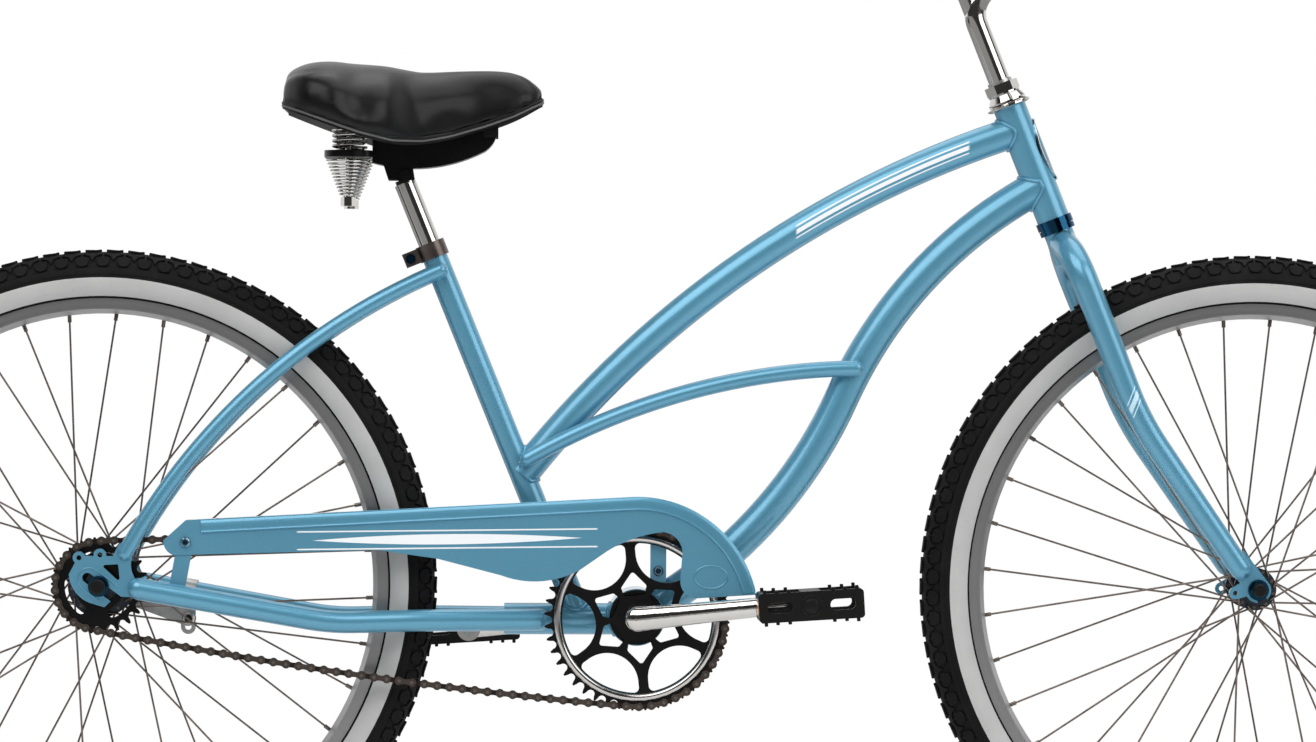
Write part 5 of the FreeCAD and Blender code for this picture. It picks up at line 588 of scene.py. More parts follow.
blue = paint("frame_blue")
bright = chrome("bright_plating")
spoke_steel = steel("spoke_steel", (0.2, 0.165, 0.145), roughness=0.34, grain=900)
zinc = steel("zinc_steel", ZINC_GREY, roughness=0.4)
blued = chrome("blued_plating", BLUED_PLATE, roughness=0.14)
# Hub, axle and bearing steel: a steel colour made darker as painted shade, so that what shows through the
# dropout slots reads dark.
hub_steel = steel("hub_steel_dark_as_painted_shade", (0.07, 0.085, 0.105), roughness=0.3, grain=700)
black = black_coat("black_stove_paint")
moulded = plastic("moulded_black", (0.005, 0.0045, 0.0042))
tyre_black = rubber("tyre_black", (0.0055, 0.0053, 0.0053), roughness=0.62)
grip_black = rubber("grip_black", (0.012, 0.012, 0.012), roughness=0.6, grain=500)
tube_black = rubber("inner_tube_black", (0.02, 0.02, 0.02), roughness=0.55)
whitewall = whitewall_rubber()
saddle_vinyl = vinyl()
amber = reflector()
badge = chrome("badge_blue_plate", (0.1, 0.27, 0.4), roughness=0.16)

FINISH_OF = {
    blue: ("head_tube", "down_tube", "seat_tube", "bottom_bracket_shell", "mid_tubes", "chain_stay_yoke",
           "chain_stays", "seat_stays", "rear_dropouts", "chain_guard_brackets", "fork_dropouts"),
    guard_paint(): ("chain_guard",),
    top_tube_paint(): ("top_tube",),
    fork_paint(): ("fork_blades",),
    steerer_paint(): ("fork_steerer",),
    bright: ("crank", "stem", "stem_expander", "handlebar", "seat_post", "saddle_spring_bolts",
             "saddle_springs", "saddle_rebound_springs"),
    headset_finish(): ("headset_cups", "headset_hardware"),
    badge: ("head_badge",),
    steel("collar_grey", (0.16, 0.13, 0.12), roughness=0.34): ("seat_clamp",),
    zinc: ("brake_arm", "brake_arm_clip", "ball_bearings", "pedal_axles"),
    blued: ("rear_axle_nuts", "front_axle_nuts"),
    bolt_finish(): ("frame_bolts",),
    spoke_steel: ("front_spokes", "rear_spokes"),
    hub_steel: ("front_hub_shell", "rear_hub_shell", "hub_driver", "rear_axle", "front_axle",
                "front_hub_bearings"),
    brushed_ring("front_rim_alloy", FRONT_AXLE, RIM_ALLOY, roughness=0.34): ("front_rim",),
    brushed_ring("rear_rim_alloy", REAR_AXLE, RIM_ALLOY, roughness=0.34): ("rear_rim",),
    chain_finish(): ("chain",),
    black: ("saddle_clamp", "saddle_frame", "rear_sprocket", "chainring", "bottom_bracket_cups",
            "crank_cones"),
    moulded: ("right_pedal", "left_pedal", "saddle_base"),
    tyre_black: ("front_tyre", "rear_tyre"),
    tube_black: ("front_inner_tube", "rear_inner_tube"),
    grip_black: ("grips",),
    saddle_vinyl: ("saddle_cover",),
}
for finish, names in FINISH_OF.items():
    for node_name in names:
        node = nodes[node_name]
        node.data.materials.clear()
        node.data.materials.append(finish.material)


# Tyres: a casing turned from its section, and a tread rolled round it

def casing_outline(axle):
    """Section of the casing: beads, flanks with the pale band, a ridge and the floor of the tread."""
    def at(angle, rounding):
        turn = math.radians(angle)
        return rounding * math.sin(turn), TYRE_MIDDLE + rounding * math.cos(turn)

    floor = TYRE_ROUND - TREAD_DEPTH
    half = [(0.013, 0.2802), (0.0159, 0.2802), (0.0159, 0.2882), (0.0203, 0.2882)]
    half += [at(angle, TYRE_ROUND - 0.0002) for angle in (132, 131)]
    half += [at(angle, TYRE_ROUND) for angle in (130.4, 124, 117, 110, 104, 98, 94, 91)]
    half += [at(90, TYRE_ROUND - 0.0001), at(88.5, TYRE_ROUND - 0.0006), at(84.5, TYRE_ROUND - 0.0006)]
    half += [at(83, TYRE_ROUND + 0.0002), at(80.5, TYRE_ROUND + 0.0002), at(79, TYRE_ROUND - 0.0006)]
    half += [at(74, TYRE_ROUND - 0.0007), at(69, TYRE_ROUND - 0.0009), at(66, floor)]
    half += [at(angle, floor) for angle in (58, 50, 42, 34, 26, 18, 10, 4)]
    lining = [at(angle, TYRE_ROUND - TYRE_WALL) for angle in (10, 30, 50, 70, 90, 110)]
    lining += [(0.013, 0.2895)]
    outside = half + [(-across, radius) for across, radius in reversed(half)]
    inside = [(-across, radius) for across, radius in reversed(lining)] + lining
    return [axle + Vector((0, across, radius)) for across, radius in outside + inside]


def tread_block(outline, height):
    """One block of the tread, modelled flat: along the tyre, across it, and up."""
    bpy.ops.object.select_all(action="DESELECT")
    bpy.ops.mesh.primitive_circle_add(vertices=len(outline), fill_type="NGON")
    block = bpy.context.object
    for vertex, (along, across) in zip(block.data.vertices, outline):
        vertex.co = (along, across, -TREAD_SINK)
    middle_along = sum(point[0] for point in outline) / len(outline)
    middle_across = sum(point[1] for point in outline) / len(outline)
    alone(block)
    bpy.ops.object.mode_set(mode="EDIT")
    bpy.ops.mesh.select_all(action="SELECT")
    for rise in (TREAD_SINK + height - TREAD_ROUNDING, TREAD_ROUNDING):
        bpy.ops.mesh.extrude_region_move(TRANSFORM_OT_translate={"value": (0, 0, rise)})
    bpy.ops.transform.resize(value=TREAD_TOP_SHARE, center_override=(middle_along, middle_across, 0))
    bpy.ops.object.mode_set(mode="OBJECT")
    return block


def rolled_tread(axle):
    """One repeat of the tread is arrayed into a strip, and the strip is rolled round the tyre."""
    outer = TYRE_MIDDLE + TYRE_ROUND
    pitch = 2 * math.pi * outer / TREAD_REPEATS
    half = pitch / 2
    shoulder = [(-0.0066, 0.0213), (0.0066, 0.0213), (0.0071, 0.0268), (0.0056, 0.031), (0.0022, 0.0329),
                (-0.0022, 0.0329), (-0.0056, 0.031), (-0.0071, 0.0268)]
    arrow = [(-0.0098, 0.0118), (-0.0098, 0.0158), (-0.0034, 0.0192), (0, 0.0262), (0.0034, 0.0192),
             (0.0098, 0.0158), (0.0098, 0.0118), (0, 0.0152)]
    crown = [(-0.0085, 0), (-0.0046, 0.0068), (0.0046, 0.0068), (0.0085, 0), (0.0046, -0.0068),
             (-0.0046, -0.0068)]
    blocks = []
    for sign in (1, -1):
        shift = 0 if sign > 0 else half
        blocks.append(tread_block([(a + shift, c * sign) for a, c in shoulder], TREAD_DEPTH))
        blocks.append(tread_block([(a + half + shift, c * sign) for a, c in arrow], TREAD_DEPTH - ARROW_DROP))
    blocks.append(tread_block(crown, TREAD_DEPTH))
    strip = join(blocks, "tread")
    settle(strip)
    tidy_mesh(strip, TREAD_MERGE)
    array = strip.modifiers.new("Repeats", "ARRAY")
    array.count = TREAD_REPEATS
    array.use_relative_offset = False
    array.use_constant_offset = True
    array.constant_offset_displace = (pitch, 0, 0)
    apply_modifiers(strip)
    for vertex in strip.data.vertices:
        along, across, height = vertex.co
        turn = 2 * math.pi * along / (pitch * TREAD_REPEATS)
        lean = across / TYRE_ROUND
        rounding = TYRE_ROUND - TREAD_DEPTH + height
        radius = TYRE_MIDDLE + rounding * math.cos(lean)
        offset = rounding * math.sin(lean)
        vertex.co = axle + Vector((radius * math.cos(turn), offset, radius * math.sin(turn)))
    tidy_mesh(strip, TREAD_MERGE)
    smooth(strip, degrees=28)
    return strip


def make_tyre(side, axle):
    """A casing with its pale band in place of the plain tyre, and a tread on it."""
    casing = spun("casing", casing_outline(axle), axle, ACROSS, CASING_STEPS)
    dress(casing, side + "_tyre_casing", side + "_wheel", "tyre_rubber", tyre_black, whitewall)
    for face in casing.data.polygons:
        offset = face.center - axle
        radius = math.hypot(offset.x, offset.z)
        if WHITEWALL_LOW < radius < WHITEWALL_HIGH and abs(offset.y) > WHITEWALL_LEAST_OFFSET:
            face.material_index = 1 if face.normal.y * offset.y > 0 else 0
    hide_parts(side + "_tyre")
    dress(rolled_tread(axle), side + "_tyre_tread", side + "_wheel", "tyre_rubber", tyre_black)


make_tyre("front", FRONT_AXLE)
make_tyre("rear", REAR_AXLE)


# Saddle: padded cover, its edge line and welt, and plated copies of the springs

# Line of the hem: distance ahead, half width and height from the saddle's own zero
SADDLE_HEM = (
    (0.1385, 0.0, 0.0825), (0.138, 0.0094, 0.082), (0.128, 0.0216, 0.077), (0.108, 0.0301, 0.067),
    (0.08, 0.0348, 0.057), (0.045, 0.0442, 0.0465), (0.018, 0.062, 0.041), (-0.012, 0.0893, 0.0405),
    (-0.045, 0.1081, 0.048), (-0.08, 0.1119, 0.06), (-0.106, 0.0978, 0.0695), (-0.121, 0.0771, 0.075),
    (-0.1215, 0.0, 0.075))
SADDLE_SWELL_CAP = 0.006
SADDLE_HOLD = 0.006
SADDLE_SLACK = 0.003
SADDLE_FADE = 0.02
SADDLE_VOXEL = 0.004
SADDLE_UNDERSIDE = -0.15
STUFFING_PRESSURE = 4.0
STUFFING_QUALITY = 6
STUFFING_FRAMES = 20
HEM_STEP = 0.004
HEM_RADIUS = 0.0015
HEM_GREY = (0.1, 0.1, 0.1)
WELT_RADIUS = 0.0026
WELT_INSET = 0.008

# Swellings and hollows on each flank: place ahead, place above, reach ahead, reach up, height
SADDLE_RELIEF = (
    (-0.083, 0.106, 0.03, 0.024, 0.0035),
    (-0.046, 0.08, 0.016, 0.034, -0.0055),
    (-0.019, 0.078, 0.014, 0.03, 0.003),
    (0.009, 0.074, 0.014, 0.026, -0.0025),
    (0.039, 0.081, 0.026, 0.02, 0.0055))


def relief(place):
    """Height of the swellings and hollows at a place on the saddle's flank."""
    height = 0.0
    for ahead, above, reach, reach_up, rise in SADDLE_RELIEF:
        off = ((place.x - ahead) / reach) ** 2 + ((place.z - above) / reach_up) ** 2
        height += rise * math.exp(-off)
    return height


def hem_rise(ahead):
    """Height of the hem at a distance ahead of the saddle's own zero."""
    for front, back in zip(SADDLE_HEM, SADDLE_HEM[1:]):
        if back[0] <= ahead <= front[0]:
            share = (ahead - back[0]) / max(front[0] - back[0], 1e-6)
            return back[2] + (front[2] - back[2]) * share
    return SADDLE_HEM[0][2] if ahead > 0 else SADDLE_HEM[-1][2]


def above_hem(place):
    """Height of a place on the saddle above the hem."""
    return place.z - hem_rise(place.x)


def fade(distance):
    """Grows from 0 to 1 over a short distance."""
    return min(1.0, max(0.0, distance / SADDLE_FADE))


def loose_copy(node_name, merge):
    """A copy of a CAD node that is free of it, with its doubled points merged."""
    alone(nodes[node_name])
    bpy.ops.object.duplicate()
    piece = bpy.context.object
    piece.parent = None
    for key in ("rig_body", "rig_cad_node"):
        if key in piece:
            del piece[key]
    tidy_mesh(piece, merge)
    return piece


def stuff(cover, held):
    """Swells a cover like a stuffed cushion while its held edge stays."""
    cloth = cover.modifiers.new("Stuffing", "CLOTH")
    cloth.settings.use_pressure = True
    cloth.settings.uniform_pressure_force = STUFFING_PRESSURE
    cloth.settings.effector_weights.gravity = 0.0
    cloth.settings.vertex_group_mass = held.name
    cloth.settings.quality = STUFFING_QUALITY
    scene = bpy.context.scene
    for number in range(1, STUFFING_FRAMES + 1):
        scene.frame_set(number)
    apply_modifiers(cover)
    scene.frame_set(1)


def make_saddle_cover():
    """A stuffed cover with shaped flanks in place of the plain one."""
    cover = loose_copy("saddle_cover", 0.0001)
    remesh = cover.modifiers.new("Even", "REMESH")
    remesh.mode = "VOXEL"
    remesh.voxel_size = SADDLE_VOXEL
    apply_modifiers(cover)
    held = cover.vertex_groups.new(name="held")
    normals = [vertex.normal.copy() for vertex in cover.data.vertices]
    for vertex, normal in zip(cover.data.vertices, normals):
        above = above_hem(vertex.co - SADDLE_POINT)
        if normal.z < SADDLE_UNDERSIDE or above < SADDLE_HOLD:
            held.add([vertex.index], 1.0, "REPLACE")
        else:
            vertex.co -= normal * SADDLE_SLACK * fade(above - SADDLE_HOLD)
    start = [vertex.co.copy() for vertex in cover.data.vertices]
    stuff(cover, held)
    for vertex, first, normal in zip(cover.data.vertices, start, normals):
        move = vertex.co - first
        if move.length > SADDLE_SWELL_CAP:
            vertex.co = first + move * (SADDLE_SWELL_CAP / move.length)
        place = vertex.co - SADDLE_POINT
        flank = fade(above_hem(place)) * fade(abs(place.y))
        vertex.co += normal * relief(place) * flank
    soften = cover.modifiers.new("Soften", "SMOOTH")
    soften.factor = 0.5
    soften.iterations = 6
    finer = cover.modifiers.new("Finer", "SUBSURF")
    finer.levels = 1
    finer.render_levels = 1
    apply_modifiers(cover)
    alone(cover)
    bpy.ops.object.shade_smooth()
    dress(cover, "saddle_padding", "saddle_top", "saddle_vinyl", saddle_vinyl)
    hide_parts("saddle_cover")


def make_saddle_hem():
    """A grey edge line, with a black welt above it that closes the cover's foot."""
    right = [SADDLE_POINT + Vector((ahead, -half, rise)) for ahead, half, rise in SADDLE_HEM]
    left = [SADDLE_POINT + Vector((ahead, half, rise)) for ahead, half, rise in SADDLE_HEM[1:-1]]
    line = right + left[::-1]
    hem = wire(evenly(line, HEM_STEP, True), HEM_RADIUS, True)
    raised = []
    for place in line:
        inward = Vector((SADDLE_POINT.x - place.x, -place.y, 0))
        raised.append(place + inward * WELT_INSET + Vector((0, 0, WELT_RADIUS)))
    welt = wire(evenly(raised, HEM_STEP, True), WELT_RADIUS, True)
    for edge in (hem, welt):
        rounding = edge.modifiers.new("Rounding", "SMOOTH")
        rounding.factor = 0.5
        rounding.iterations = 4
        apply_modifiers(edge)
    dress(welt, "saddle_welt", "saddle_top", "saddle_vinyl", saddle_vinyl)
    dress(hem, "saddle_hem", "saddle_top", "black_plastic", plastic("hem_edge", HEM_GREY, roughness=0.3))


def make_springs(node_name, name):
    """A smooth copy of the coils in bright plating, in place of the plain ones."""
    coils = loose_copy(node_name, 0.00002)
    smooth(coils, degrees=50)
    coils.name = name
    coils.data.name = name
    coils.data.materials.clear()
    coils.data.materials.append(bright.material)
    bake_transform(coils)
    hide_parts(node_name)


make_saddle_cover()
make_saddle_hem()
make_springs("saddle_springs", "saddle_coils_upper")
make_springs("saddle_rebound_springs", "saddle_coils_lower")


# Grips: ribbed sleeves in place of the plain ones

BAR_MIDDLE = Vector((0.3414, 0, 0.9601))
BAR_BEND = Vector((-0.022, 0.262, 0.095))
BAR_END = Vector((-0.215, 0.335, 0.072))
GRIP_LENGTH = 0.122
GRIP_DEPTH = 0.1185
GRIP_BORE = 0.0116
GRIP_OVERHANG = 0.004
GRIP_SWELL = 0.0006
RIB_COUNT = 18
RIB_START = 0.0105
RIB_PITCH = 0.0056
RIB_FOOT = 0.0143
RIB_TOP = 0.0155


def grip_section():
    """Half section of a grip from its flange to its closed end: distance along it and radius."""
    section = [(0.0, GRIP_BORE), (0.0, 0.0192), (0.0025, 0.02), (0.0055, 0.0192), (0.008, 0.0152)]
    for number in range(RIB_COUNT):
        start = RIB_START + number * RIB_PITCH
        swell = GRIP_SWELL * math.sin(math.pi * number / (RIB_COUNT - 1))
        section.append((start, RIB_FOOT + swell))
        section.append((start + RIB_PITCH * 0.3, RIB_TOP + swell))
        section.append((start + RIB_PITCH * 0.62, RIB_TOP + swell))
    section += [(0.1115, 0.0146), (0.114, RIB_TOP), (0.119, RIB_TOP), (GRIP_LENGTH, 0.0135)]
    section += [(GRIP_LENGTH, 0.0), (GRIP_DEPTH, 0.0), (GRIP_DEPTH, GRIP_BORE)]
    return section


def make_grips():
    """A pair of ribbed grips, one the mirror of the other."""
    run = (BAR_END - BAR_BEND).normalized()
    end = BAR_MIDDLE + BAR_END + run * GRIP_OVERHANG
    upright = ACROSS.cross(run).normalized()
    grips = []
    for sign in (1, -1):
        points = []
        for along, radius in grip_section():
            place = end - run * (GRIP_LENGTH - along) + upright * radius
            points.append(Vector((place.x, place.y * sign, place.z)))
        centre = Vector((end.x, end.y * sign, end.z))
        axis = Vector((run.x, run.y * sign, run.z))
        grips.append(spun("grip", points, centre, axis, steps=40))
    piece = join(grips, "hand_grips")
    dress(piece, "hand_grips", "handlebar", "grip_rubber", grip_black)
    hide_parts("grips")


make_grips()


# Weld beads where the tubes meet

WELD_LIFT = 0.0007
SEAM_SLACK = 0.00012
SEAM_PARTS = 48
BEAD_STEP = 0.0013
BEAD_RIPPLE = (0.8, 1.0)
SHELL_RADIUS = 0.0285
YOKE_MIDDLE = Vector((-0.0431, 0, 0.3027))
YOKE_RUN = Vector((1, 0, 0))
YOKE_RADIUS = 0.0159
STAY_TOP = Vector((-0.24195, 0, 0.65323))
STAY_OFFSET = 0.0125


def seam(node_name, point, run, radius, near, reach):
    """Loop where a tube's end lies on the wall of another round tube, lifted a little off that wall."""
    run = run.normalized()
    found = []
    for vertex in nodes[node_name].data.vertices:
        offset = vertex.co - point
        across = offset - run * offset.dot(run)
        if abs(across.length - radius) < SEAM_SLACK and (vertex.co - near).length < reach:
            found.append(vertex.co.copy())
    centre = sum(found, Vector()) / len(found)
    offset = centre - point
    outward = (offset - run * offset.dot(run)).normalized()
    side = run.cross(outward)
    bins = {}
    for place in found:
        flat = place - centre
        turn = math.atan2(flat.dot(run), flat.dot(side))
        key = int((turn + math.pi) / (2 * math.pi) * SEAM_PARTS)
        length = math.hypot(flat.dot(run), flat.dot(side))
        if key not in bins or bins[key][0] < length:
            bins[key] = (length, turn, place)
    line = []
    for _, _, place in sorted(bins.values(), key=lambda entry: entry[1]):
        offset = place - point
        line.append(place + (offset - run * offset.dot(run)).normalized() * WELD_LIFT)
    return line


def bead(points, radius):
    """A rippled bead laid along a seam."""
    line = evenly(points, BEAD_STEP, True)
    swell = [BEAD_RIPPLE[index % 2] for index in range(len(line))]
    return wire(line, radius, True, swell)


def make_welds():
    """Beads at the head tube, seat tube, bottom bracket shell and yoke."""
    head = (HEAD_FOOT, HEAD_UP, HEAD_RADIUS)
    seat = (SEAT_FOOT, SEAT_UP, SEAT_TUBE_RADIUS)
    shell = (BRACKET, ACROSS, SHELL_RADIUS)
    yoke = (YOKE_MIDDLE, YOKE_RUN, YOKE_RADIUS)
    # Each row: the tube that ends, the tube that it meets, a point near the seam, reach, size of the bead
    places = [
        ("top_tube", head, Vector((0.33, 0, 0.795)), 0.06, 0.0022),
        ("down_tube", head, Vector((0.352, 0, 0.737)), 0.06, 0.0022),
        ("top_tube", seat, Vector((-0.15, 0, 0.458)), 0.07, 0.002),
        ("down_tube", shell, Vector((-0.018, 0, 0.32)), 0.06, 0.0022),
        ("seat_tube", yoke, Vector((-0.104, 0, 0.318)), 0.05, 0.002),
        ("chain_stay_yoke", shell, Vector((-0.071, 0, 0.3027)), 0.05, 0.002),
    ]
    for sign in (1, -1):
        places.append(("seat_stays", seat, STAY_TOP + ACROSS * STAY_OFFSET * sign, 0.024, 0.0015))
    beads = [bead(seam(tube, *met, near, reach), size) for tube, met, near, reach, size in places]
    piece = join(beads, "frame_weld_beads")
    dress(piece, "frame_weld_beads", "frame", "frame_paint", blue)


make_welds()


# Raised trim: the guard's border and oval, dropout bosses, chainring bead, screw rims and axle caps

GUARD_FACE = -0.05405
GUARD_RADIUS = 0.121
GUARD_TAIL = Vector((-0.436, 0, 0.0966))
GUARD_ARC_FROM = 13
GUARD_ARC_SWEEP = 79
GUARD_ARC_STEPS = 56
GUARD_RUN_STEPS = 60

# Section of the guard's border: distance in from its edge, height off its face
GUARD_BORDER = (
    (0.0128, -0.0003), (0.0124, 0.0012), (0.0117, 0.0019), (0.011, 0.0016), (0.0095, 0.0014),
    (0.0065, 0.0011), (0.0035, 0.0007), (0.0012, 0.0001), (-0.0004, -0.0008), (-0.0004, -0.003))
BORDER_THICKNESS = 0.0006
OVAL_MIDDLE = Vector((0.0303, GUARD_FACE, 0.3475))
OVAL_HALF_LENGTH = 0.0165
OVAL_HALF_HEIGHT = 0.0115
OVAL_POINTS = 48
OVAL_RADIUS = 0.001
SLOT_LEAN = math.radians(-36.5)
BOSS_FACE = 0.0601
BOSS_HALF = 0.0112
BOSS_BACK = 0.012
BOSS_UPPER_END = 0.016
BOSS_LOWER_END = 0.009
BOSS_ARC_STEPS = 16
BOSS_STEP = 0.0015
BOSS_RADIUS = 0.0007
RING_HALF_THICKNESS = 0.001
RING_BEAD_REACH = 0.0798
RING_BEAD_HALF = 0.0039
RING_BEAD_RISE = 0.0036
RING_BEAD_STEPS = 12
RING_BEAD_PLATE = (0.6, 0.58, 0.56)
GUARD_REAR_SCREW = REAR_AXLE + Vector((0.0857, 0, 0.0438))
GUARD_FRONT_SCREW = BRACKET + Vector((0.0213, 0, 0.0468))
BRAKE_BOLT = REAR_AXLE + Vector((0.0835, 0, -0.0372))
SCREW_REACH = 0.009
SCREW_SINK = 0.0008
SCREW_INNER_BEVEL = 0.0005
SCREW_OUTER_BEVEL = 0.001
SCREW_RIM_PLATE = (0.32, 0.52, 0.62)
CAP_BEVEL = 0.0014


def sheet(rows, name):
    """A surface through rows of points."""
    bpy.ops.object.select_all(action="DESELECT")
    across = len(rows[0])
    bpy.ops.mesh.primitive_grid_add(x_subdivisions=across - 1, y_subdivisions=len(rows) - 1, size=1)
    piece = bpy.context.object
    points = [point for row in rows for point in row]
    for vertex, point in zip(piece.data.vertices, points):
        vertex.co = point
    piece.name = name
    return piece


def guard_edge():
    """Points along the guard's upper edge, each with the way in from the edge."""
    edge = []
    for number in range(GUARD_ARC_STEPS + 1):
        turn = math.radians(GUARD_ARC_FROM + GUARD_ARC_SWEEP * number / GUARD_ARC_STEPS)
        outward = Vector((math.cos(turn), 0, math.sin(turn)))
        edge.append((BRACKET + outward * GUARD_RADIUS, -outward))
    last = edge[-1][0]
    tail = BRACKET + GUARD_TAIL
    inward = (tail - last).cross(ACROSS).normalized()
    inward = inward if inward.z < 0 else -inward
    for number in range(1, GUARD_RUN_STEPS + 1):
        edge.append((last.lerp(tail, number / GUARD_RUN_STEPS), inward))
    return edge


def make_guard_trim():
    """A raised rounded border along the guard's top edge and a plain oval on its front leg."""
    rows = []
    for place, inward in guard_edge():
        rows.append([place + inward * drop + ACROSS * (GUARD_FACE - out) for drop, out in GUARD_BORDER])
    border = sheet(rows, "border")
    thicken = border.modifiers.new("Thicken", "SOLIDIFY")
    thicken.thickness = BORDER_THICKNESS
    thicken.offset = 0
    apply_modifiers(border)
    tidy_mesh(border)
    smooth(border, degrees=50)
    oval_points = []
    for number in range(OVAL_POINTS):
        turn = 2 * math.pi * number / OVAL_POINTS
        flat = Vector((OVAL_HALF_LENGTH * math.cos(turn), 0, OVAL_HALF_HEIGHT * math.sin(turn)))
        oval_points.append(OVAL_MIDDLE + flat)
    oval = wire(oval_points, OVAL_RADIUS, True)
    piece = join([border, oval], "guard_pressed_border")
    dress(piece, "guard_pressed_border", "frame", "frame_paint", blue)


def make_dropout_bosses():
    """A raised line round the axle slot of each rear dropout."""
    run = Vector((math.cos(SLOT_LEAN), 0, math.sin(SLOT_LEAN)))
    side = Vector((-run.z, 0, run.x))
    bosses = []
    for face in (-BOSS_FACE, BOSS_FACE):
        centre = REAR_AXLE + ACROSS * face
        back = centre - run * BOSS_BACK
        line = [centre + run * BOSS_UPPER_END + side * BOSS_HALF]
        for number in range(BOSS_ARC_STEPS + 1):
            turn = math.radians(90 + 180 * number / BOSS_ARC_STEPS)
            line.append(back + (run * math.cos(turn) + side * math.sin(turn)) * BOSS_HALF)
        line.append(centre + run * BOSS_LOWER_END - side * BOSS_HALF)
        bosses.append(wire(evenly(line, BOSS_STEP, False), BOSS_RADIUS, False))
    piece = join(bosses, "dropout_bosses")
    dress(piece, "dropout_bosses", "frame", "frame_paint", blue)


def make_chainring_bead():
    """A polished rounded bead just inside the teeth."""
    face = -CHAIN_LINE - RING_HALF_THICKNESS
    section = []
    for number in range(RING_BEAD_STEPS + 1):
        turn = math.pi * number / RING_BEAD_STEPS
        reach = RING_BEAD_REACH + RING_BEAD_HALF * math.cos(turn)
        section.append(BRACKET + Vector((reach, face - RING_BEAD_RISE * math.sin(turn), 0)))
    piece = spun("chainring_bead", section, BRACKET, ACROSS, steps=120)
    plating = chrome("chainring_plating", RING_BEAD_PLATE, roughness=0.14)
    dress(piece, "chainring_bead", "crankset", "chromed_steel", plating)


def screw_end(place, names):
    """The foremost point of a screw on the drive side, in the middle of its head."""
    found = []
    for name in names:
        for vertex in nodes[name].data.vertices:
            offset = vertex.co - place
            if math.hypot(offset.x, offset.z) < SCREW_REACH:
                found.append(vertex.co.y)
    return Vector((place.x, min(found), place.z))


def screw_ring(end, outer, hole, rise):
    """A ring with bevelled edges that stands off the end of a screw."""
    points = ((hole, SCREW_SINK), (hole, -rise * 0.5), (hole + SCREW_INNER_BEVEL, -rise),
              (outer - SCREW_OUTER_BEVEL, -rise), (outer, -rise * 0.3), (outer, SCREW_SINK))
    section = [end + Vector((reach, along, 0)) for reach, along in points]
    return spun("screw_ring", section, end, ACROSS, steps=32)


def make_screw_rings():
    """Rims on the guard's screws, and a washer and a dark head on the brake arm's bolt."""
    rims = []
    for place in (GUARD_REAR_SCREW, GUARD_FRONT_SCREW):
        end = screw_end(place, ("frame_bolts",))
        rims.append(screw_ring(end, outer=0.0048, hole=0.0024, rise=0.0012))
    rims = join(rims, "guard_screw_rims")
    rim_plating = chrome("screw_rim_plating", SCREW_RIM_PLATE, roughness=0.18)
    dress(rims, "guard_screw_rims", "frame", "chromed_steel", rim_plating)
    brake = screw_end(BRAKE_BOLT, ("frame_bolts", "brake_arm", "brake_arm_clip"))
    washer = screw_ring(brake, outer=0.0063, hole=0.0034, rise=0.0024)
    dress(washer, "brake_bolt_washer", "frame", "chromed_steel", bright)
    head = screw_ring(brake, outer=0.0034, hole=0.0004, rise=0.0016)
    dress(head, "brake_bolt_head", "frame", "black_plastic", moulded)


def make_axle_caps(name, axle, start, end, radius, body):
    """Black caps over the ends of an axle."""
    points = ((0.0, start), (radius, start), (radius, end - CAP_BEVEL), (radius - CAP_BEVEL, end), (0.0, end))
    caps = []
    for side in (-1, 1):
        section = [axle + Vector((reach, side * along, 0)) for reach, along in points]
        caps.append(spun("cap", section, axle, ACROSS, steps=40))
    piece = join(caps, name)
    dress(piece, name, body, "black_plastic", moulded)


make_guard_trim()
make_dropout_bosses()
make_chainring_bead()
make_screw_rings()
make_axle_caps("rear_axle_caps", REAR_AXLE, start=0.0705, end=0.0812, radius=0.0074, body="frame")
make_axle_caps("front_axle_caps", FRONT_AXLE, start=0.0655, end=0.0712, radius=0.0066, body="fork")


# Pedals: studs along the treads, rings on the ends and amber lenses

PEDAL_HALF_LENGTH = 0.052
PEDAL_HALF_HEIGHT = 0.0145
PEDAL_HALF_WIDTH = 0.032
PEDAL_TILT = Matrix.Rotation(math.radians(-3.6), 4, "Y")
STUD_ROWS = (-0.0455, -0.034, -0.022, 0.022, 0.034, 0.0455)
STUD_SIZE = 0.0034
STUD_STRETCH = 1.4
STUD_BEVEL = 0.0006
STUD_INSET = 0.003
STUD_LIFT = 0.0008
CORNER_ROW = 0.04
CORNER_STUD_STRETCH = 1.5
RING_RADII = (0.0068, 0.0102)
RING_THICKNESS = 0.0006
LENS_SIZE = (0.003, 0.044, 0.017)
LENS_BEVEL = 0.001
LENS_INSET = 0.0012

# Section of the cap on the pedal's end: radius, height off the end
PEDAL_CAP = ((0.0, -0.002), (0.0064, -0.002), (0.0064, 0.0004), (0.005, 0.001), (0.0, 0.001))


def rounded_block(size, stretch, bevel):
    """A block stretched from a cube, with its edges rounded."""
    bpy.ops.object.select_all(action="DESELECT")
    bpy.ops.mesh.primitive_cube_add(size=size)
    block = bpy.context.object
    alone(block)
    bpy.ops.object.mode_set(mode="EDIT")
    bpy.ops.mesh.select_all(action="SELECT")
    bpy.ops.transform.resize(value=stretch)
    bpy.ops.mesh.bevel(offset=bevel, segments=2, affect="EDGES")
    bpy.ops.object.mode_set(mode="OBJECT")
    return block


def end_ring(radius):
    """A thin ring that faces along the pedal's axle."""
    bpy.ops.object.select_all(action="DESELECT")
    bpy.ops.mesh.primitive_torus_add(major_radius=radius, minor_radius=RING_THICKNESS, major_segments=40,
                                     minor_segments=8)
    return bpy.context.object


def set_on_pedal(piece, centre, place, turn=Matrix()):
    """Puts a piece at its place on a tilted pedal."""
    piece.matrix_world = Matrix.Translation(centre) @ PEDAL_TILT @ Matrix.Translation(place) @ turn
    settle(piece)
    return piece


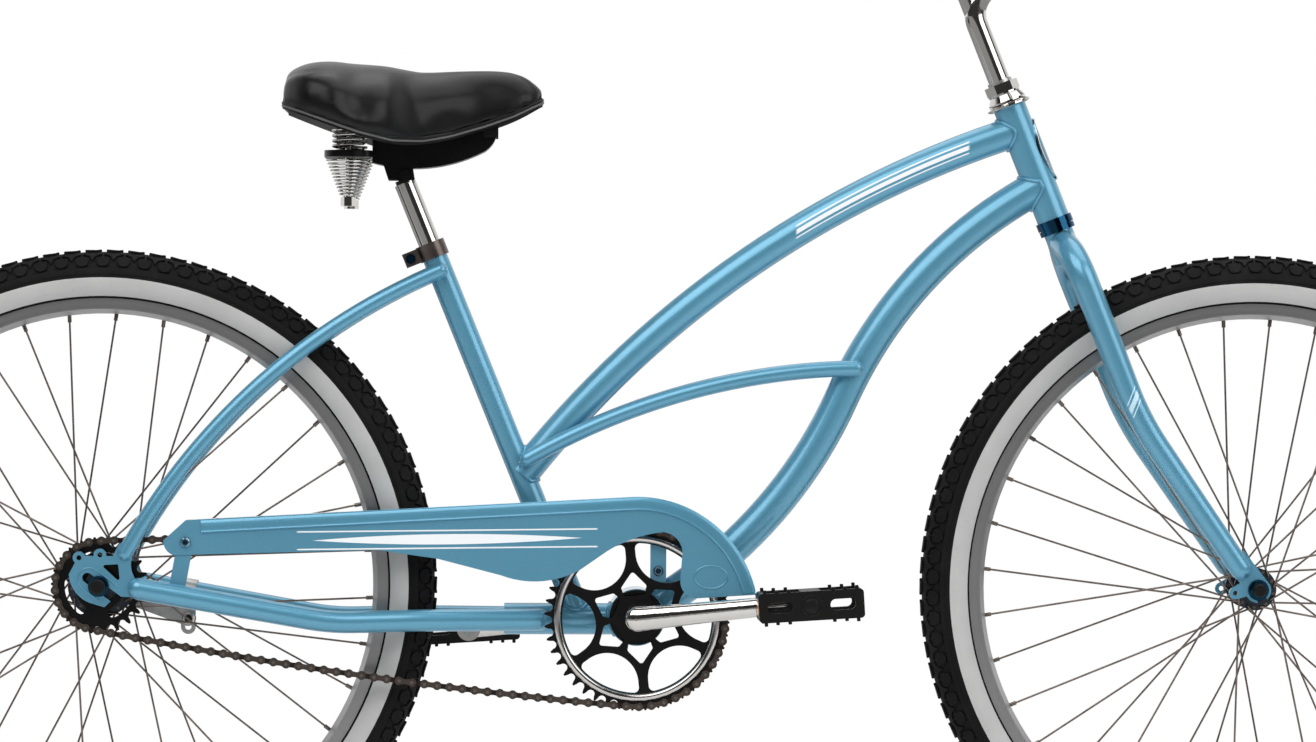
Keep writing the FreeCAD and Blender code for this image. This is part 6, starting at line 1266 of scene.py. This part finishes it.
def make_pedal_trim(pedal):
    """Studs, end rings and cap of a pedal in one piece, and its pair of lenses in another."""
    low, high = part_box(pedal)
    centre = (low + high) / 2
    pieces = []
    for ahead in STUD_ROWS:
        tall = CORNER_STUD_STRETCH if abs(ahead) > CORNER_ROW else 1.0
        for across in (-1, 1):
            for up in (-1, 1):
                stud = rounded_block(STUD_SIZE, (1, STUD_STRETCH, tall), STUD_BEVEL)
                side = across * (PEDAL_HALF_WIDTH - STUD_INSET)
                place = (ahead, side, up * (PEDAL_HALF_HEIGHT + STUD_LIFT))
                pieces.append(set_on_pedal(stud, centre, place))
    turn = Matrix.Rotation(math.radians(90), 4, "X")
    for across in (-1, 1):
        for radius in RING_RADII:
            pieces.append(set_on_pedal(end_ring(radius), centre, (0, across * PEDAL_HALF_WIDTH, 0), turn))
    outer = -1 if centre.y < 0 else 1
    section = [centre + Vector((reach, outer * (PEDAL_HALF_WIDTH + off), 0)) for reach, off in PEDAL_CAP]
    pieces.append(spun("cap", section, centre, ACROSS, steps=32))
    trim = join(pieces, pedal + "_studs")
    smooth(trim)
    dress(trim, pedal + "_studs", pedal, "black_plastic", moulded)

    lenses = []
    for ahead in (-1, 1):
        lens = rounded_block(1, LENS_SIZE, LENS_BEVEL)
        lenses.append(set_on_pedal(lens, centre, (ahead * (PEDAL_HALF_LENGTH - LENS_INSET), 0, 0)))
    pair = join(lenses, pedal + "_lenses")
    smooth(pair)
    dress(pair, pedal + "_lenses", pedal, "black_plastic", amber)


make_pedal_trim("right_pedal")
make_pedal_trim("left_pedal")


# Head badge: a raised rim round the plain oval plate

BADGE_RISE = 0.069
BADGE_HALF_WIDTH = 0.0125
BADGE_HALF_HEIGHT = 0.0318
BADGE_LIFT = 0.0016
BADGE_RIM_RADIUS = 0.0009
BADGE_RIM_POINTS = 64


def make_badge_rim():
    """A bright oval wire bent round the front of the head tube."""
    forward = ACROSS.cross(HEAD_UP).normalized()
    centre = HEAD_FOOT + HEAD_UP * BADGE_RISE
    points = []
    for number in range(BADGE_RIM_POINTS):
        turn = 2 * math.pi * number / BADGE_RIM_POINTS
        around = BADGE_HALF_WIDTH * math.sin(turn) / HEAD_RADIUS
        radial = forward * math.cos(around) + ACROSS * math.sin(around)
        upward = HEAD_UP * BADGE_HALF_HEIGHT * math.cos(turn)
        points.append(centre + upward + radial * (HEAD_RADIUS + BADGE_LIFT))
    rim = wire(points, BADGE_RIM_RADIUS, True)
    dress(rim, "badge_rim", "frame", "badge_metal", bright)


make_badge_rim()


# Floor, light and camera

PLAIN_LIGHT = 0.4
DIM_SIDE = 0.04
DIM_ABOVE = 0.16
MIRRORED_FLOOR = 0.36
FLOOR_SIZE = 40
FLOOR_DROP = -0.0005
FLOOR_GREY = (0.86, 0.86, 0.86)
FLOOR_STRETCH = 0.7
FLOOR_NEAR = 1.1
FLOOR_FAR = 2.1
WHITE = (1, 1, 1, 1)


def make_stage():
    """A pale floor that keeps the shadow and turns to plain white further off."""
    bpy.ops.object.select_all(action="DESELECT")
    bpy.ops.mesh.primitive_plane_add(size=FLOOR_SIZE, location=(0, 0, FLOOR_DROP))
    floor = bpy.context.object
    floor.name = "floor"
    finish = Finish("pale_floor", FLOOR_GREY, 0.6)
    x, y, _ = finish.axes(finish.place)
    distance = (x * x * FLOOR_STRETCH + y * y).root()
    far = distance.rise(FLOOR_NEAR, FLOOR_FAR)
    path = finish.add("ShaderNodeLightPath", output="Is Camera Ray")
    outputs = path.socket.node.outputs
    glossy = Socket(finish, outputs["Is Glossy Ray"])
    seen = path.most(glossy).most(Socket(finish, outputs["Is Transmission Ray"]))
    strength = 1 - glossy * (1 - MIRRORED_FLOOR)
    glow = finish.add("ShaderNodeEmission", None, {"Color": WHITE, "Strength": strength}, "Emission")
    mixed = finish.tree.nodes.new("ShaderNodeMixShader")
    finish.feed(mixed.inputs[0], far * seen)
    finish.tree.links.new(finish.shader.outputs[0], mixed.inputs[1])
    finish.tree.links.new(glow.socket, mixed.inputs[2])
    finish.tree.links.new(mixed.outputs[0], finish.tree.nodes["Material Output"].inputs["Surface"])
    floor.data.materials.append(finish.material)


def make_world():
    """White to the eye, plain light on surfaces, and a dim room on the camera's side in reflections."""
    world = bpy.data.worlds.new("studio")
    bpy.context.scene.world = world
    world.use_nodes = True
    sky = Nodes(world.node_tree)
    background = sky.tree.nodes["Background"]
    background.inputs["Color"].default_value = WHITE
    _, y, z = sky.axes(sky.add("ShaderNodeTexCoord", output="Generated"))
    behind = y.rise(-0.15, 0.3)
    overhead = z.rise(0.75, 0.9)
    upper = z.rise(0.2, 0.8)
    mirrored = behind.most(overhead) * (1 - DIM_SIDE) + DIM_SIDE
    mirrored = mirrored * (1 - upper * (1 - DIM_ABOVE))
    seen = sky.add("ShaderNodeLightPath", output="Is Camera Ray")
    rays = seen.socket.node.outputs
    glossy = Socket(sky, rays["Is Glossy Ray"])
    white = seen.most(Socket(sky, rays["Is Transmission Ray"]))
    level = glossy * (mirrored - PLAIN_LIGHT) + PLAIN_LIGHT
    sky.feed(background.inputs["Strength"], white * (1 - level) + level)


def soft_lamp(name, place, aim, size, power):
    """A rectangular lamp that faces a point."""
    bpy.ops.object.select_all(action="DESELECT")
    bpy.ops.object.light_add(type="AREA", location=place)
    lamp = bpy.context.object
    lamp.name = name
    lamp.data.shape = "RECTANGLE"
    lamp.data.size = size[0]
    lamp.data.size_y = size[1]
    lamp.data.energy = power
    lamp.rotation_euler = (Vector(aim) - Vector(place)).to_track_quat("-Z", "Y").to_euler()


def make_camera():
    """The photograph's view: nearly square on to the drive side, from between hub and saddle height."""
    place = Vector((-0.1807, -5.3692, 0.5782))
    yaw = math.radians(1.694)
    pitch = math.radians(-0.267)
    roll = math.radians(0.28)
    forward = Vector((math.sin(yaw) * math.cos(pitch), math.cos(yaw) * math.cos(pitch), math.sin(pitch)))
    level = Vector((math.cos(yaw), -math.sin(yaw), 0))
    upright = level.cross(forward)
    right = level * math.cos(roll) + upright * math.sin(roll)
    up = upright * math.cos(roll) - level * math.sin(roll)
    bpy.ops.object.camera_add()
    camera = bpy.context.object
    camera.data.sensor_width = 36.0
    camera.data.lens = 145.5
    camera.data.clip_end = 80.0
    facing = Matrix((right, up, -forward)).transposed().to_4x4()
    camera.matrix_world = Matrix.Translation(place) @ facing
    bpy.context.scene.camera = camera


make_stage()
make_world()
soft_lamp("key", place=(-1.6, -2.6, 3.4), aim=(0, 0, 0.5), size=(4.2, 2.8), power=105)
soft_lamp("top", place=(0.6, 0.6, 3.6), aim=(0, 0, 0.4), size=(4.6, 2.6), power=60)
soft_lamp("fill", place=(3.0, -2.4, 2.5), aim=(0, 0, 0.5), size=(3.0, 2.6), power=60)
make_camera()
bpy.context.scene.view_settings.view_transform = "Standard"
